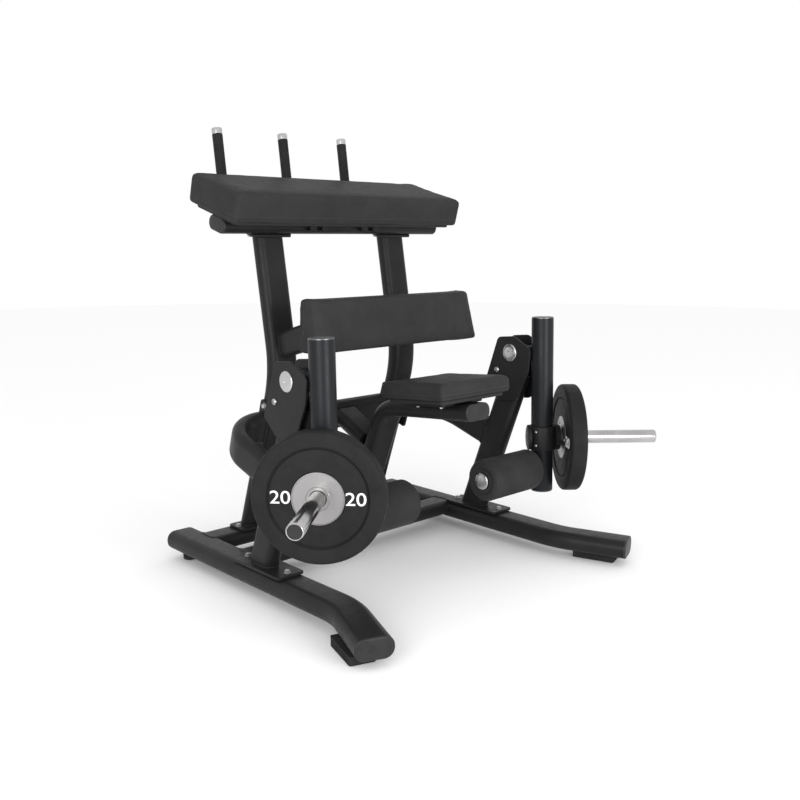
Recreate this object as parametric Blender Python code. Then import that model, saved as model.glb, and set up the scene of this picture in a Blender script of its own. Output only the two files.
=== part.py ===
# Plate-loaded kneeling leg curl, modelled as the pieces it comes apart into.
#
# Axes: +Z up, the user faces +Y, +X is the user's right. The floor is z = 0 and the
# machine is symmetric about x = 0. All lengths are metres. Pieces are laid out with y
# measured from a line just behind the pivots, and the whole is centred at the end.
#
# Each side has its own lever. It hangs from a pivot at the top of its post, carries an
# ankle roller low on the inside and a weight horn on the outside, and curls backwards
# and up about the pivot.

import math

import bmesh
import bpy
from mathutils import Matrix, Vector

# ---- driving dimensions ---------------------------------------------------------------

GAP = 0.0003  # clearance between pieces that touch
MIDDLE_Y = 0.1337  # middle of the footprint, which ends up on the origin

# flat-oval frame tube
TUBE_LONG = 0.115
TUBE_SHORT = 0.058
TUBE_CORNER = 0.027
PLATE_THICK = 0.010  # welded flange plates

# floor frame
RAIL_X = 0.529
RAIL_WIDE = 0.122
RAIL_TALL = 0.069
RAIL_CORNER = 0.032
FLOOR_FRAME_TOP = 0.102
RAIL_Z = FLOOR_FRAME_TOP - RAIL_TALL / 2
RAIL_REAR_Y = 0.728
RAIL_BEND_Y = -0.245
RAIL_FRONT = Vector((0.627, -0.482, 0.063))
RAIL_BEND_RADIUS = 0.30
REAR_CAP_THICK = 0.017
FRONT_CAP_THICK = 0.010
FRONT_FOOT_REAR = Vector((0.581, -0.288))
FRONT_FOOT_FRONT = Vector((0.631, -0.439))
FRONT_FOOT_HALF = 0.0425
REAR_FOOT_Y = 0.680
REAR_FOOT_RADIUS = 0.025
CROSS_Z = FLOOR_FRAME_TOP - TUBE_SHORT / 2
REAR_CROSS_Y = 0.603
FRONT_CROSS_Y = 0.350

# uprights, boomerang shaped in side view
UPRIGHT_X = 0.295
UPRIGHT_BASE_Y = 0.590
UPRIGHT_KNEE = (0.376, 0.721)
UPRIGHT_TOP = (0.459, 1.210)
UPRIGHT_RADIUS = 0.40

# seat tube and the column that it turns down into
SEAT_FRONT = (-0.300, 0.631)
COLUMN_KNEE = (0.135, 0.594)
COLUMN_BASE_Y = 0.338
COLUMN_RADIUS = 0.10
BRACE_FRONT = (0.240, 0.455)
BRACE_REAR = (0.392, 0.528)

# side braces and the cross tube between the uprights, in one plane that rises rearwards
SPINE_Y = 0.430
SPINE_Z = 0.524
SPINE_SLOPE = 0.32
SIDE_BRACE_RADIUS = 0.160

# pivot posts and brackets
POST_Y_AT_REF = 0.090
POST_REF_Z = 0.376
POST_LEAN = 0.378  # metres forward for each metre up
POST_TOP_Z = 0.693
PIVOT_Y = -0.0215
PIVOT_Z = 0.762
BRACKET_INNER_FACE = 0.038  # from the lever's plane to each bracket plate
BRACKET_THICK = 0.008

# lever
LEVER_RADIUS = 0.0413
LEVER_STEPS = 32
LEVER_TOP = (-0.140, 0.905)
LEVER_BOTTOM = (-0.157, 0.236)
HUB_RADIUS = 0.036
HUB_HALF = 0.036
SHAFT_RADIUS = 0.016
BUSH_RADIUS = 0.020
SHAFT_HEAD_RADIUS = 0.033
SHAFT_HEAD_THICK = 0.006

# weight horn, level, turned outwards and towards the user's back
HORN_ANGLE = math.radians(40.6)
HORN_Z = 0.444
HORN_RADIUS = 0.025
HORN_END = 0.438  # from the lever's axis
COLLAR_RADIUS = 0.048
COLLAR_START = -0.056
COLLAR_END = 0.0665
SLEEVE_RADIUS = 0.050
SLEEVE_HALF = 0.046

# weight plate
PLATE_RADIUS = 0.203
PLATE_HALF = 0.030
PLATE_CENTRE = 0.1010
PLATE_HUB_RADIUS = 0.081

# ankle roller
ROLLER_RADIUS = 0.076
ROLLER_Z = 0.333
ROLLER_INNER_X = 0.183
ROLLER_OUTER_X = 0.462
AXLE_RADIUS = 0.0125

# pads
ARM_PAD_SIZE = (1.060, 0.300, 0.107)
ARM_PAD_CENTRE = (0.440, 1.334)
ARM_PAD_TILT = math.radians(15.7)
ARM_BOARD_THICK = 0.010
THIGH_PAD_HALF = (0.391, 0.381)  # at the bottom and at the top
THIGH_PAD_FRONT_Y = (0.060, 0.101)
THIGH_PAD_BACK_Y = 0.168
THIGH_PAD_Z = (0.813, 0.998)
KNEE_PAD_SIZE = (0.335, 0.300, 0.058)
KNEE_PAD_CENTRE = (-0.146, 0.699)
KNEE_PAD_TILT = math.radians(-4.9)
BOARD_THICK = 0.012

# bars that carry the pads
CROSSBAR_LONG = 0.100
CROSSBAR_SHORT = 0.052
CROSSBAR_CORNER = 0.025
CROSSBAR_SHIFT = -0.014  # along the arm pad's underside, from its middle
CROSSBAR_HALF = 0.510
HEAD_PLATE_SIZE = (0.170, 0.075, PLATE_THICK)
THIGH_ARM_MIDDLE = (0.300, 0.841)
THIGH_ARM_SLOPE = 0.281  # metres up for each metre towards the pad
THIGH_ARM_LONG = 0.095
THIGH_ARM_SHORT = 0.055
THIGH_BAR_Y = 0.235
THIGH_BAR_LONG = 0.085
THIGH_BAR_SHORT = 0.050

# hand grips behind the arm pad
HANDLE_XS = (("left", -0.299), ("centre", 0.0), ("right", 0.299))
HANDLE_RADIUS = 0.016
HANDLE_KNEE_Y = 0.710
HANDLE_TOP = (0.760, 1.600)
HANDLE_BEND = 0.060
HANDLE_CAP_LONG = 0.023
GRIP_RADIUS = 0.0195
GRIP_LONG = 0.170

SIDES = (("left", -1), ("right", 1))


# ---- materials ------------------------------------------------------------------------


def material(name, colour, roughness, metallic=0.0):
    made = bpy.data.materials.new(name)
    made.use_nodes = True
    shader = made.node_tree.nodes["Principled BSDF"]
    shader.inputs["Base Color"].default_value = (*colour, 1.0)
    shader.inputs["Roughness"].default_value = roughness
    shader.inputs["Metallic"].default_value = metallic
    return made


def make_materials():
    return {
        "frame": material("powder_coat_black", (0.028, 0.028, 0.030), 0.42, 0.2),
        "lever": material("gloss_coat_graphite", (0.035, 0.038, 0.042), 0.25, 0.4),
        "pad": material("charcoal_leatherette", (0.045, 0.045, 0.047), 0.48),
        "board": material("black_board", (0.02, 0.02, 0.02), 0.7),
        "rubber": material("black_rubber", (0.022, 0.022, 0.022), 0.65),
        "plastic": material("black_plastic", (0.03, 0.03, 0.03), 0.45),
        "steel": material("brushed_steel", (0.42, 0.40, 0.40), 0.35, 1.0),
        "chrome": material("chrome", (0.62, 0.61, 0.61), 0.14, 1.0),
        "bronze": material("oiled_bronze", (0.45, 0.30, 0.15), 0.40, 1.0),
    }


# ---- shape helpers --------------------------------------------------------------------


def finish(name, bm, look, origin=(0.0, 0.0, 0.0), smooth_angle=35.0):
    """Makes an object of the mesh, with its origin at the given point."""
    bmesh.ops.recalc_face_normals(bm, faces=bm.faces)
    bmesh.ops.translate(bm, verts=bm.verts, vec=-Vector(origin))
    mesh = bpy.data.meshes.new(name)
    bm.to_mesh(mesh)
    bm.free()
    mesh.materials.append(look)
    mesh.shade_smooth()
    mesh.set_sharp_from_angle(angle=math.radians(smooth_angle))
    made = bpy.data.objects.new(name, mesh)
    made.location = origin
    bpy.context.scene.collection.objects.link(made)
    return made


def boolean(target, helper, operation):
    """Welds or cuts the target with a helper object, which is then hidden."""
    step = target.modifiers.new(operation.lower(), "BOOLEAN")
    step.operation = operation
    step.object = helper
    helper.hide_render = True
    helper.display_type = "WIRE"


def weld(target, *helpers):
    for helper in helpers:
        boolean(target, helper, "UNION")


def cut(target, *helpers):
    for helper in helpers:
        boolean(target, helper, "DIFFERENCE")


def rounded_outline(corners, steps=3):
    """A closed outline from (u, v, radius) corners, each turned into an arc."""
    outline = []
    for index, (u, v, radius) in enumerate(corners):
        here = Vector((u, v))
        before = (Vector(corners[index - 1][:2]) - here).normalized()
        after = (Vector(corners[(index + 1) % len(corners)][:2]) - here).normalized()
        half = before.angle(after) / 2
        reach = radius / math.tan(half)
        centre = here + (before + after).normalized() * (radius / math.sin(half))
        start = here + before * reach - centre
        end = here + after * reach - centre
        turn = start.angle_signed(end)
        for step in range(steps + 1):
            outline.append(centre + Matrix.Rotation(-turn * step / steps, 2) @ start)
    return outline


def oval(long_side=TUBE_LONG, short_side=TUBE_SHORT, corner=TUBE_CORNER, steps=4):
    """Section of a flat-oval tube: long side along u, short side along v."""
    u = long_side / 2
    v = short_side / 2
    return rounded_outline(
        [(u, v, corner), (-u, v, corner), (-u, -v, corner), (u, -v, corner)], steps
    )


def circle(radius, steps):
    turns = [2 * math.pi * step / steps for step in range(steps)]
    return [Vector((radius * math.cos(a), radius * math.sin(a))) for a in turns]


def bent_path(points, radius, steps=6):
    """A line through the points with each inner corner turned into an arc."""
    points = [Vector(point) for point in points]
    path = [points[0]]
    for before, here, after in zip(points, points[1:], points[2:]):
        back = (before - here).normalized()
        on = (after - here).normalized()
        half = back.angle(on) / 2
        reach = radius / math.tan(half)
        centre = here + (back + on).normalized() * (radius / math.sin(half))
        start = here + back * reach - centre
        axis = start.cross(here + on * reach - centre).normalized()
        turn = math.pi - 2 * half
        for step in range(steps + 1):
            path.append(centre + Matrix.Rotation(turn * step / steps, 3, axis) @ start)
    path.append(points[-1])
    return path


def swept(path, section, long_axis, start_face=None, end_face=None):
    """A bar of the given section along a path. The section's u follows long_axis.

    An end is cut square unless it is given the normal of another face.
    """
    bm = bmesh.new()
    rings = []
    faces = {0: start_face, len(path) - 1: end_face}
    for index, point in enumerate(path):
        ahead = path[min(index + 1, len(path) - 1)] - path[max(index - 1, 0)]
        along = ahead.normalized()
        up = (long_axis - long_axis.dot(along) * along).normalized()
        side = along.cross(up)
        face = faces.get(index) or along
        ring = []
        for p in section:
            spot = up * p.x + side * p.y
            spot -= along * (face.dot(spot) / face.dot(along))
            ring.append(bm.verts.new(point + spot))
        rings.append(ring)
    for ring, following in zip(rings, rings[1:]):
        for index in range(len(section)):
            after = (index + 1) % len(section)
            bm.faces.new((ring[index], ring[after], following[after], following[index]))
    bm.faces.new(rings[0])
    bm.faces.new(rings[-1])
    return bm


def straight(start, end, section, long_axis, start_face=None, end_face=None):
    ends = [Vector(start), Vector(end)]
    return swept(ends, section, long_axis, start_face, end_face)


def turned(profile, steps, base, axis, closed=False):
    """A turned piece from (radius, height) points, heights measured along the axis."""
    bm = bmesh.new()
    rings = []
    for radius, height in profile:
        if radius == 0.0:
            rings.append([bm.verts.new((0.0, 0.0, height))] * steps)
            continue
        spots = circle(radius, steps)
        rings.append([bm.verts.new((p.x, p.y, height)) for p in spots])
    pairs = list(zip(rings, rings[1:]))
    if closed:
        pairs.append((rings[-1], rings[0]))
    for ring, following in pairs:
        for index in range(steps):
            after = (index + 1) % steps
            corners = (ring[index], ring[after], following[after], following[index])
            bm.faces.new(dict.fromkeys(corners))
    turn = Vector((0, 0, 1)).rotation_difference(Vector(axis)).to_matrix().to_4x4()
    bmesh.ops.transform(bm, verts=bm.verts, matrix=Matrix.Translation(base) @ turn)
    return bm


def rod_profile(radius, low, high, edge=0.0015):
    """Profile of a plain rod with small chamfers."""
    return [
        (0.0, low),
        (radius - edge, low),
        (radius, low + edge),
        (radius, high - edge),
        (radius - edge, high),
        (0.0, high),
    ]


def plain_rod(radius, low, high):
    return [(0.0, low), (radius, low), (radius, high), (0.0, high)]


def ring_profile(inner, outer, low, high):
    return [(inner, low), (outer, low), (outer, high), (inner, high)]


def box(size, centre, turn=None, edge=0.0, edge_steps=2):
    bm = bmesh.new()
    bmesh.ops.create_cube(bm, size=1.0)
    bmesh.ops.scale(bm, verts=bm.verts, vec=size)
    if edge > 0.0:
        bmesh.ops.bevel(
            bm,
            geom=list(bm.edges),
            offset=edge,
            segments=edge_steps,
            profile=0.5,
            affect="EDGES",
        )
    place = Matrix.Translation(centre) @ (turn or Matrix.Identity(4))
    bmesh.ops.transform(bm, verts=bm.verts, matrix=place)
    return bm


def side_plate(outline, x_low, x_high):
    """A flat plate lying in the side view, from (y, z) points."""
    bm = bmesh.new()
    near = [bm.verts.new((x_low, p[0], p[1])) for p in outline]
    far = [bm.verts.new((x_high, p[0], p[1])) for p in outline]
    bm.faces.new(near)
    bm.faces.new(far)
    for index in range(len(outline)):
        after = (index + 1) % len(outline)
        bm.faces.new((near[index], near[after], far[after], far[index]))
    return bm


AXIS_X = Vector((1, 0, 0))
AXIS_Y = Vector((0, 1, 0))
AXIS_Z = Vector((0, 0, 1))


def in_side_view(x, point):
    return Vector((x, point[0], point[1]))


# ---- floor frame ----------------------------------------------------------------------


def rail_bend(sign):
    return Vector((sign * RAIL_X, RAIL_BEND_Y, RAIL_Z))


def rail_front(sign):
    return Vector((sign * RAIL_FRONT.x, RAIL_FRONT.y, RAIL_FRONT.z))


def rail_rear(sign):
    return Vector((sign * RAIL_X, RAIL_REAR_Y, RAIL_Z))


def lying_oval(wide, tall, corner):
    """An oval whose u runs up and whose v runs across, for a tube that lies flat."""
    return [Vector((p.y, p.x)) for p in oval(wide, tall, corner)]


def rail_section():
    return lying_oval(RAIL_WIDE, RAIL_TALL, RAIL_CORNER)


def base_rail(side, sign, looks):
    """Long floor tube, turned outwards and slightly down at its front."""
    ends = [rail_rear(sign), rail_bend(sign), rail_front(sign)]
    path = bent_path(ends, RAIL_BEND_RADIUS)
    finish(f"{side}_base_rail", swept(path, rail_section(), AXIS_Z), looks["frame"])


def end_cap(name, end, outwards, thick, section, long_axis, look):
    """Plastic cap on a tube's end, with a domed edge."""
    rings = ((GAP, 1.0), (thick * 0.55, 1.0), (thick * 0.85, 0.94), (thick, 0.84))
    bm = bmesh.new()
    up = (long_axis - long_axis.dot(outwards) * outwards).normalized()
    side = outwards.cross(up)
    made = []
    for reach, scale in rings:
        centre = end + outwards * reach
        made.append(
            [bm.verts.new(centre + (up * p.x + side * p.y) * scale) for p in section]
        )
    for ring, following in zip(made, made[1:]):
        for index in range(len(section)):
            after = (index + 1) % len(section)
            bm.faces.new((ring[index], ring[after], following[after], following[index]))
    bm.faces.new(made[0])
    bm.faces.new(made[-1])
    finish(name, bm, look)


def rail_caps(side, sign, looks):
    ends = (
        ("rear", rail_rear(sign), AXIS_Y, REAR_CAP_THICK),
        ("front", rail_front(sign), front_arm(sign), FRONT_CAP_THICK),
    )
    for where, end, outwards, thick in ends:
        name = f"{side}_rail_{where}_cap"
        end_cap(name, end, outwards, thick, rail_section(), AXIS_Z, looks["plastic"])


def front_arm(sign):
    """Direction of the rail's front arm."""
    return (rail_front(sign) - rail_bend(sign)).normalized()


def front_foot(side, sign, looks):
    """Rubber block under the rail's front arm, sloped on top to follow it."""
    along = front_arm(sign)
    slope = along.z / along.xy.length
    level = along.xy.normalized()
    under = rail_bend(sign).z - RAIL_TALL / 2 / along.xy.length - GAP
    foot_rear = Vector((sign * FRONT_FOOT_REAR.x, FRONT_FOOT_REAR.y))
    foot_front = Vector((sign * FRONT_FOOT_FRONT.x, FRONT_FOOT_FRONT.y))
    across = (foot_front - foot_rear).normalized().orthogonal()
    bm = bmesh.new()
    bmesh.ops.create_cube(bm, size=1.0)
    for vert in bm.verts:
        spot = foot_rear if vert.co.x < 0 else foot_front
        spot = spot + across * (FRONT_FOOT_HALF if vert.co.y > 0 else -FRONT_FOOT_HALF)
        reach = level.dot(spot - rail_bend(sign).xy)
        top = under + slope * reach
        vert.co = Vector((spot.x, spot.y, top if vert.co.z > 0 else 0.0))
    upright_edges = [e for e in bm.edges if abs(e.verts[0].co.z - e.verts[1].co.z) > 0.02]
    bmesh.ops.bevel(bm, geom=upright_edges, offset=0.008, segments=2, affect="EDGES")
    finish(f"{side}_front_foot", bm, looks["rubber"])


def rear_foot(side, sign, looks):
    top = RAIL_Z - RAIL_TALL / 2 - GAP
    profile = [
        (0.0, 0.0),
        (REAR_FOOT_RADIUS - 0.003, 0.0),
        (REAR_FOOT_RADIUS, 0.004),
        (REAR_FOOT_RADIUS, 0.020),
        (REAR_FOOT_RADIUS * 0.55, 0.024),
        (REAR_FOOT_RADIUS * 0.55, top),
        (0.0, top),
    ]
    base = (sign * RAIL_X, REAR_FOOT_Y, 0.0)
    bm = turned(profile, 18, base, AXIS_Z)
    finish(f"{side}_rear_foot", bm, looks["rubber"])


def floor_cross_tube(name, y, looks):
    """Tube between the two rails, with its ends shaped to their rounded sides."""
    half = RAIL_X - RAIL_WIDE / 2 + RAIL_CORNER
    section = lying_oval(TUBE_LONG, TUBE_SHORT, TUBE_CORNER)
    bm = straight((-half, y, CROSS_Z), (half, y, CROSS_Z), section, AXIS_Z)
    tube = finish(name, bm, looks["frame"])
    clear = lying_oval(RAIL_WIDE + 2 * GAP, RAIL_TALL + 2 * GAP, RAIL_CORNER + GAP)
    for side, sign in SIDES:
        near = (sign * RAIL_X, y - 0.10, RAIL_Z)
        far = (sign * RAIL_X, y + 0.10, RAIL_Z)
        shape = straight(near, far, clear, AXIS_Z)
        cut(tube, finish(f"{name}_{side}_rail_shape", shape, looks["frame"]))


# ---- uprights, seat column and spine --------------------------------------------------


def foot_plate(name, x, y, size, looks):
    """Welded plate that sits on a floor tube."""
    centre = (x, y, FLOOR_FRAME_TOP + GAP + PLATE_THICK / 2)
    return finish(name, box((*size, PLATE_THICK), centre), looks["frame"])


def upright(side, sign, looks):
    """Boomerang tube from the rear cross tube to the crossbar, with plates on its ends."""
    x = sign * UPRIGHT_X
    base = Vector((x, UPRIGHT_BASE_Y, FLOOR_FRAME_TOP + GAP + PLATE_THICK / 2))
    knee = in_side_view(x, UPRIGHT_KNEE)
    top = in_side_view(x, UPRIGHT_TOP)
    path = bent_path([base, knee, top], UPRIGHT_RADIUS)
    tilt = Matrix.Rotation(ARM_PAD_TILT, 4, "X")
    bm = swept(path, oval(), AXIS_X, AXIS_Z, tilt.to_3x3() @ AXIS_Z)
    tube = finish(f"{side}_upright", bm, looks["frame"])
    centre = under_arm_pad(x, crossbar_drop() + CROSSBAR_SHORT / 2 + GAP + PLATE_THICK / 2)
    head = box(HEAD_PLATE_SIZE, centre, tilt)
    head_plate = finish(f"{side}_upright_head", head, looks["frame"])
    foot = foot_plate(f"{side}_upright_foot", x, UPRIGHT_BASE_Y, (0.170, 0.100), looks)
    weld(tube, head_plate, foot)


def seat_column(looks):
    """Seat tube and centre column, one bent tube, with pad plate and foot plate."""
    base = Vector((0.0, COLUMN_BASE_Y, FLOOR_FRAME_TOP + GAP + PLATE_THICK / 2))
    knee = in_side_view(0.0, COLUMN_KNEE)
    front = in_side_view(0.0, SEAT_FRONT)
    path = bent_path([base, knee, front], COLUMN_RADIUS)
    bm = swept(path, oval(), AXIS_X, AXIS_Z)
    tube = finish("seat_column", bm, looks["frame"])
    tilt = Matrix.Rotation(KNEE_PAD_TILT, 4, "X")
    under = KNEE_PAD_SIZE[2] / 2 + BOARD_THICK + 2 * GAP
    thick = 0.016
    drop = tilt @ Vector((0, 0, -(under + thick / 2)))
    centre = in_side_view(0.0, KNEE_PAD_CENTRE) + drop
    plate = finish("seat_plate", box((0.20, 0.16, thick), centre, tilt), looks["frame"])
    foot = foot_plate("column_foot", 0.0, COLUMN_BASE_Y, (0.180, 0.100), looks)
    weld(tube, plate, foot)


def column_brace(looks):
    """Short tube from the back of the column up to the mid cross tube."""
    start = in_side_view(0.0, BRACE_FRONT)
    end = in_side_view(0.0, BRACE_REAR)
    finish("column_brace", straight(start, end, oval(), AXIS_X), looks["frame"])


def spine_point(x, y):
    return Vector((x, y, SPINE_Z + SPINE_SLOPE * (y - SPINE_Y)))


def spine_normal():
    return Vector((0.0, -SPINE_SLOPE, 1.0)).normalized()


def upright_lean():
    """Turn that lays a side plate along the uprights' lower half."""
    rise = UPRIGHT_KNEE[1] - RAIL_Z
    back = UPRIGHT_BASE_Y - UPRIGHT_KNEE[0]
    return Matrix.Rotation(math.atan2(back, rise), 4, "X")


def mid_cross_tube(looks):
    """Tube between the uprights, with a bolting plate on each end."""
    half = UPRIGHT_X - TUBE_LONG / 2 - GAP
    start = spine_point(-half, SPINE_Y)
    end = spine_point(half, SPINE_Y)
    bm = straight(start, end, oval(), spine_normal())
    tube = finish("mid_cross_tube", bm, looks["frame"])
    size = (PLATE_THICK, 0.056, 0.200)
    for side, sign in SIDES:
        centre = spine_point(sign * (half - PLATE_THICK / 2), SPINE_Y)
        plate = box(size, centre, upright_lean())
        weld(tube, finish(f"{side}_mid_plate", plate, looks["frame"]))


def post_axis_y(z):
    return POST_Y_AT_REF - POST_LEAN * (z - POST_REF_Z)


def post_axis(x, z):
    return Vector((x, post_axis_y(z), z))


def side_brace(side, sign, looks):
    """Quarter-bend tube from the back of a post round to the outside of an upright."""
    x_end = UPRIGHT_X + TUBE_LONG / 2 + GAP
    lean = Vector((0.0, -POST_LEAN, 1.0)).normalized()
    start_y = post_axis_y(SPINE_Z + SPINE_SLOPE * (0.13 - SPINE_Y)) - 0.02
    corner = spine_point(sign * RAIL_X, SPINE_Y)
    start = spine_point(sign * RAIL_X, start_y)
    end = spine_point(sign * x_end, SPINE_Y)
    path = bent_path([start, corner, end], SIDE_BRACE_RADIUS, 7)
    tube = swept(path, oval(), spine_normal())
    brace = finish(f"{side}_side_brace", tube, looks["frame"])
    centre = spine_point(sign * (x_end + PLATE_THICK / 2), SPINE_Y)
    plate = box((PLATE_THICK, 0.056, 0.200), centre, upright_lean())
    weld(brace, finish(f"{side}_brace_plate", plate, looks["frame"]))
    clear = oval(TUBE_LONG + 2 * GAP, TUBE_SHORT + 2 * GAP, TUBE_CORNER + GAP)
    low = post_axis(sign * RAIL_X, 0.28)
    high = post_axis(sign * RAIL_X, 0.58)
    across = AXIS_X.cross(lean)
    post_shape = straight(low, high, clear, across)
    cut(brace, finish(f"{side}_post_shape", post_shape, looks["frame"]))
    in_front = box((0.2, 0.2, 0.4), post_axis(sign * RAIL_X, 0.43) + Vector((0, -0.1, 0)))
    cut(brace, finish(f"{side}_front_trim", in_front, looks["frame"]))


# ---- pivot posts ----------------------------------------------------------------------


def pivot(sign):
    return Vector((sign * RAIL_X, PIVOT_Y, PIVOT_Z))


def pivot_post(side, sign, looks):
    """Leaning tube on the rail that holds the lever's bracket, with its flange."""
    x = sign * RAIL_X
    lean = Vector((0.0, -POST_LEAN, 1.0)).normalized()
    base = post_axis(x, FLOOR_FRAME_TOP + GAP + PLATE_THICK / 2)
    top = post_axis(x, POST_TOP_Z)
    bm = straight(base, top, oval(), AXIS_X.cross(lean), AXIS_Z)
    post = finish(f"{side}_pivot_post", bm, looks["frame"])
    flange = foot_plate(f"{side}_post_flange", x, 0.172, (0.108, 0.274), looks)
    weld(post, flange)


def bracket_outline():
    return rounded_outline(
        [
            (0.040, 0.819, 0.022),
            (-0.040, 0.827, 0.040),
            (-0.122, 0.782, 0.022),
            (-0.113, 0.696, 0.060),
            (-0.060, 0.579, 0.030),
            (0.035, 0.573, 0.030),
            (0.104, 0.636, 0.014),
        ]
    )


def bracket_plate(name, sign, direction, looks):
    """One cheek plate of the pivot bracket, with a spacer on the post, bored for the shaft."""
    near = sign * RAIL_X + direction * BRACKET_INNER_FACE
    far = near + direction * BRACKET_THICK
    bm = side_plate(bracket_outline(), min(near, far), max(near, far))
    plate = finish(name, bm, looks["frame"])
    on_post = TUBE_SHORT / 2 + GAP
    inside_plate = BRACKET_INNER_FACE + BRACKET_THICK / 2
    across = direction * (on_post + inside_plate) / 2
    lean = Matrix.Rotation(math.atan(POST_LEAN), 4, "X")
    centre = post_axis(sign * RAIL_X + across, 0.640)
    spacer = box((inside_plate - on_post, 0.060, 0.080), centre, lean)
    weld(plate, finish(f"{name}_spacer", spacer, looks["frame"]))
    middle = pivot(sign) + AXIS_X * direction * BRACKET_INNER_FACE
    profile = rod_profile(SHAFT_RADIUS + GAP, -0.03, 0.03)
    cut(plate, finish(f"{name}_bore", turned(profile, 24, middle, AXIS_X), looks["frame"]))


def pivot_shaft(side, sign, looks):
    """Shaft through both cheek plates, with a broad round cap on each end."""
    seat = BRACKET_INNER_FACE + BRACKET_THICK + GAP
    head = seat + SHAFT_HEAD_THICK
    profile = [
        (0.0, -head),
        (SHAFT_HEAD_RADIUS - 0.003, -head),
        (SHAFT_HEAD_RADIUS, -head + 0.002),
        (SHAFT_HEAD_RADIUS, -seat),
        (SHAFT_RADIUS, -seat),
        (SHAFT_RADIUS, seat),
        (SHAFT_HEAD_RADIUS, seat),
        (SHAFT_HEAD_RADIUS, head - 0.002),
        (SHAFT_HEAD_RADIUS - 0.003, head),
        (0.0, head),
    ]
    bm = turned(profile, 24, pivot(sign), AXIS_X)
    finish(f"{side}_pivot_shaft", bm, looks["steel"])


# ---- levers ---------------------------------------------------------------------------


def lever_axis(x, z):
    slope = (LEVER_TOP[0] - LEVER_BOTTOM[0]) / (LEVER_TOP[1] - LEVER_BOTTOM[1])
    return Vector((x, LEVER_BOTTOM[0] + slope * (z - LEVER_BOTTOM[1]), z))


def lever_shape(name, sign, radius, low_z, high_z, looks):
    """A round bar along the lever's axis, used for clearances."""
    low = lever_axis(sign * RAIL_X, low_z)
    high = lever_axis(sign * RAIL_X, high_z)
    profile = plain_rod(radius, 0.0, (high - low).length)
    bm = turned(profile, LEVER_STEPS, low, (high - low).normalized())
    return finish(name, bm, looks["lever"])


def lever_tube(side, sign, looks):
    low = lever_axis(sign * RAIL_X, LEVER_BOTTOM[1])
    high = lever_axis(sign * RAIL_X, LEVER_TOP[1])
    length = (high - low).length
    profile = [
        (0.0, 0.0),
        (LEVER_RADIUS - 0.004, 0.0),
        (LEVER_RADIUS - 0.001, 0.0015),
        (LEVER_RADIUS, 0.004),
        (LEVER_RADIUS, length - 0.004),
        (LEVER_RADIUS - 0.001, length - 0.0015),
        (LEVER_RADIUS - 0.004, length),
        (0.0, length),
    ]
    bm = turned(profile, LEVER_STEPS, low, (high - low).normalized())
    finish(f"{side}_lever_tube", bm, looks["lever"], pivot(sign))


def lever_arm(side, sign, looks):
    """Hub on the shaft and the block that carries the lever tube."""
    profile = ring_profile(BUSH_RADIUS + GAP, HUB_RADIUS, -HUB_HALF, HUB_HALF)
    hub = turned(profile, 24, pivot(sign), AXIS_X, closed=True)
    arm = finish(f"{side}_lever_arm", hub, looks["lever"], pivot(sign))
    reach = lever_axis(0.0, PIVOT_Z).y
    start = PIVOT_Y - HUB_RADIUS + 0.008
    centre = (sign * RAIL_X, (reach + start) / 2, PIVOT_Z)
    block = box((0.052, abs(reach - start), 0.058), centre)
    weld(arm, finish(f"{side}_arm_block", block, looks["lever"]))
    tube = lever_shape(f"{side}_arm_cope", sign, LEVER_RADIUS + GAP, 0.60, 0.93, looks)
    cut(arm, tube)


def pivot_bush(side, sign, looks):
    half = HUB_HALF + 0.0012
    profile = ring_profile(SHAFT_RADIUS + GAP, BUSH_RADIUS, -half, half)
    bm = turned(profile, 24, pivot(sign), AXIS_X, closed=True)
    finish(f"{side}_pivot_bush", bm, looks["bronze"], pivot(sign))


def horn_direction(sign):
    return Vector((sign * math.cos(HORN_ANGLE), -math.sin(HORN_ANGLE), 0.0))


def horn_base(sign):
    return lever_axis(sign * RAIL_X, HORN_Z)


def horn_collar(side, sign, looks):
    """Cast clamp round the lever tube with a boss that the horn is set in."""
    low = lever_axis(sign * RAIL_X, HORN_Z - SLEEVE_HALF)
    high = lever_axis(sign * RAIL_X, HORN_Z + SLEEVE_HALF)
    axis = (high - low).normalized()
    length = (high - low).length
    profile = plain_rod(SLEEVE_RADIUS, 0.0, length)
    collar = finish(
        f"{side}_horn_collar", turned(profile, 24, low, axis), looks["frame"], pivot(sign)
    )
    profile = rod_profile(COLLAR_RADIUS, COLLAR_START, COLLAR_END, 0.003)
    boss = turned(profile, 24, horn_base(sign), horn_direction(sign))
    weld(collar, finish(f"{side}_collar_boss", boss, looks["frame"]))
    name = f"{side}_collar_bore"
    cut(collar, lever_shape(name, sign, LEVER_RADIUS + GAP, 0.36, 0.53, looks))
    profile = plain_rod(HORN_RADIUS + GAP, 0.0, 0.2)
    socket = turned(profile, 24, horn_base(sign), horn_direction(sign))
    cut(collar, finish(f"{side}_horn_socket", socket, looks["frame"]))


def weight_horn(side, sign, looks):
    start = LEVER_RADIUS + 0.004
    profile = rod_profile(HORN_RADIUS, start, HORN_END, 0.003)
    bm = turned(profile, 24, horn_base(sign), horn_direction(sign))
    finish(f"{side}_weight_horn", bm, looks["chrome"], pivot(sign))


# ---- weight plates --------------------------------------------------------------------


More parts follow.
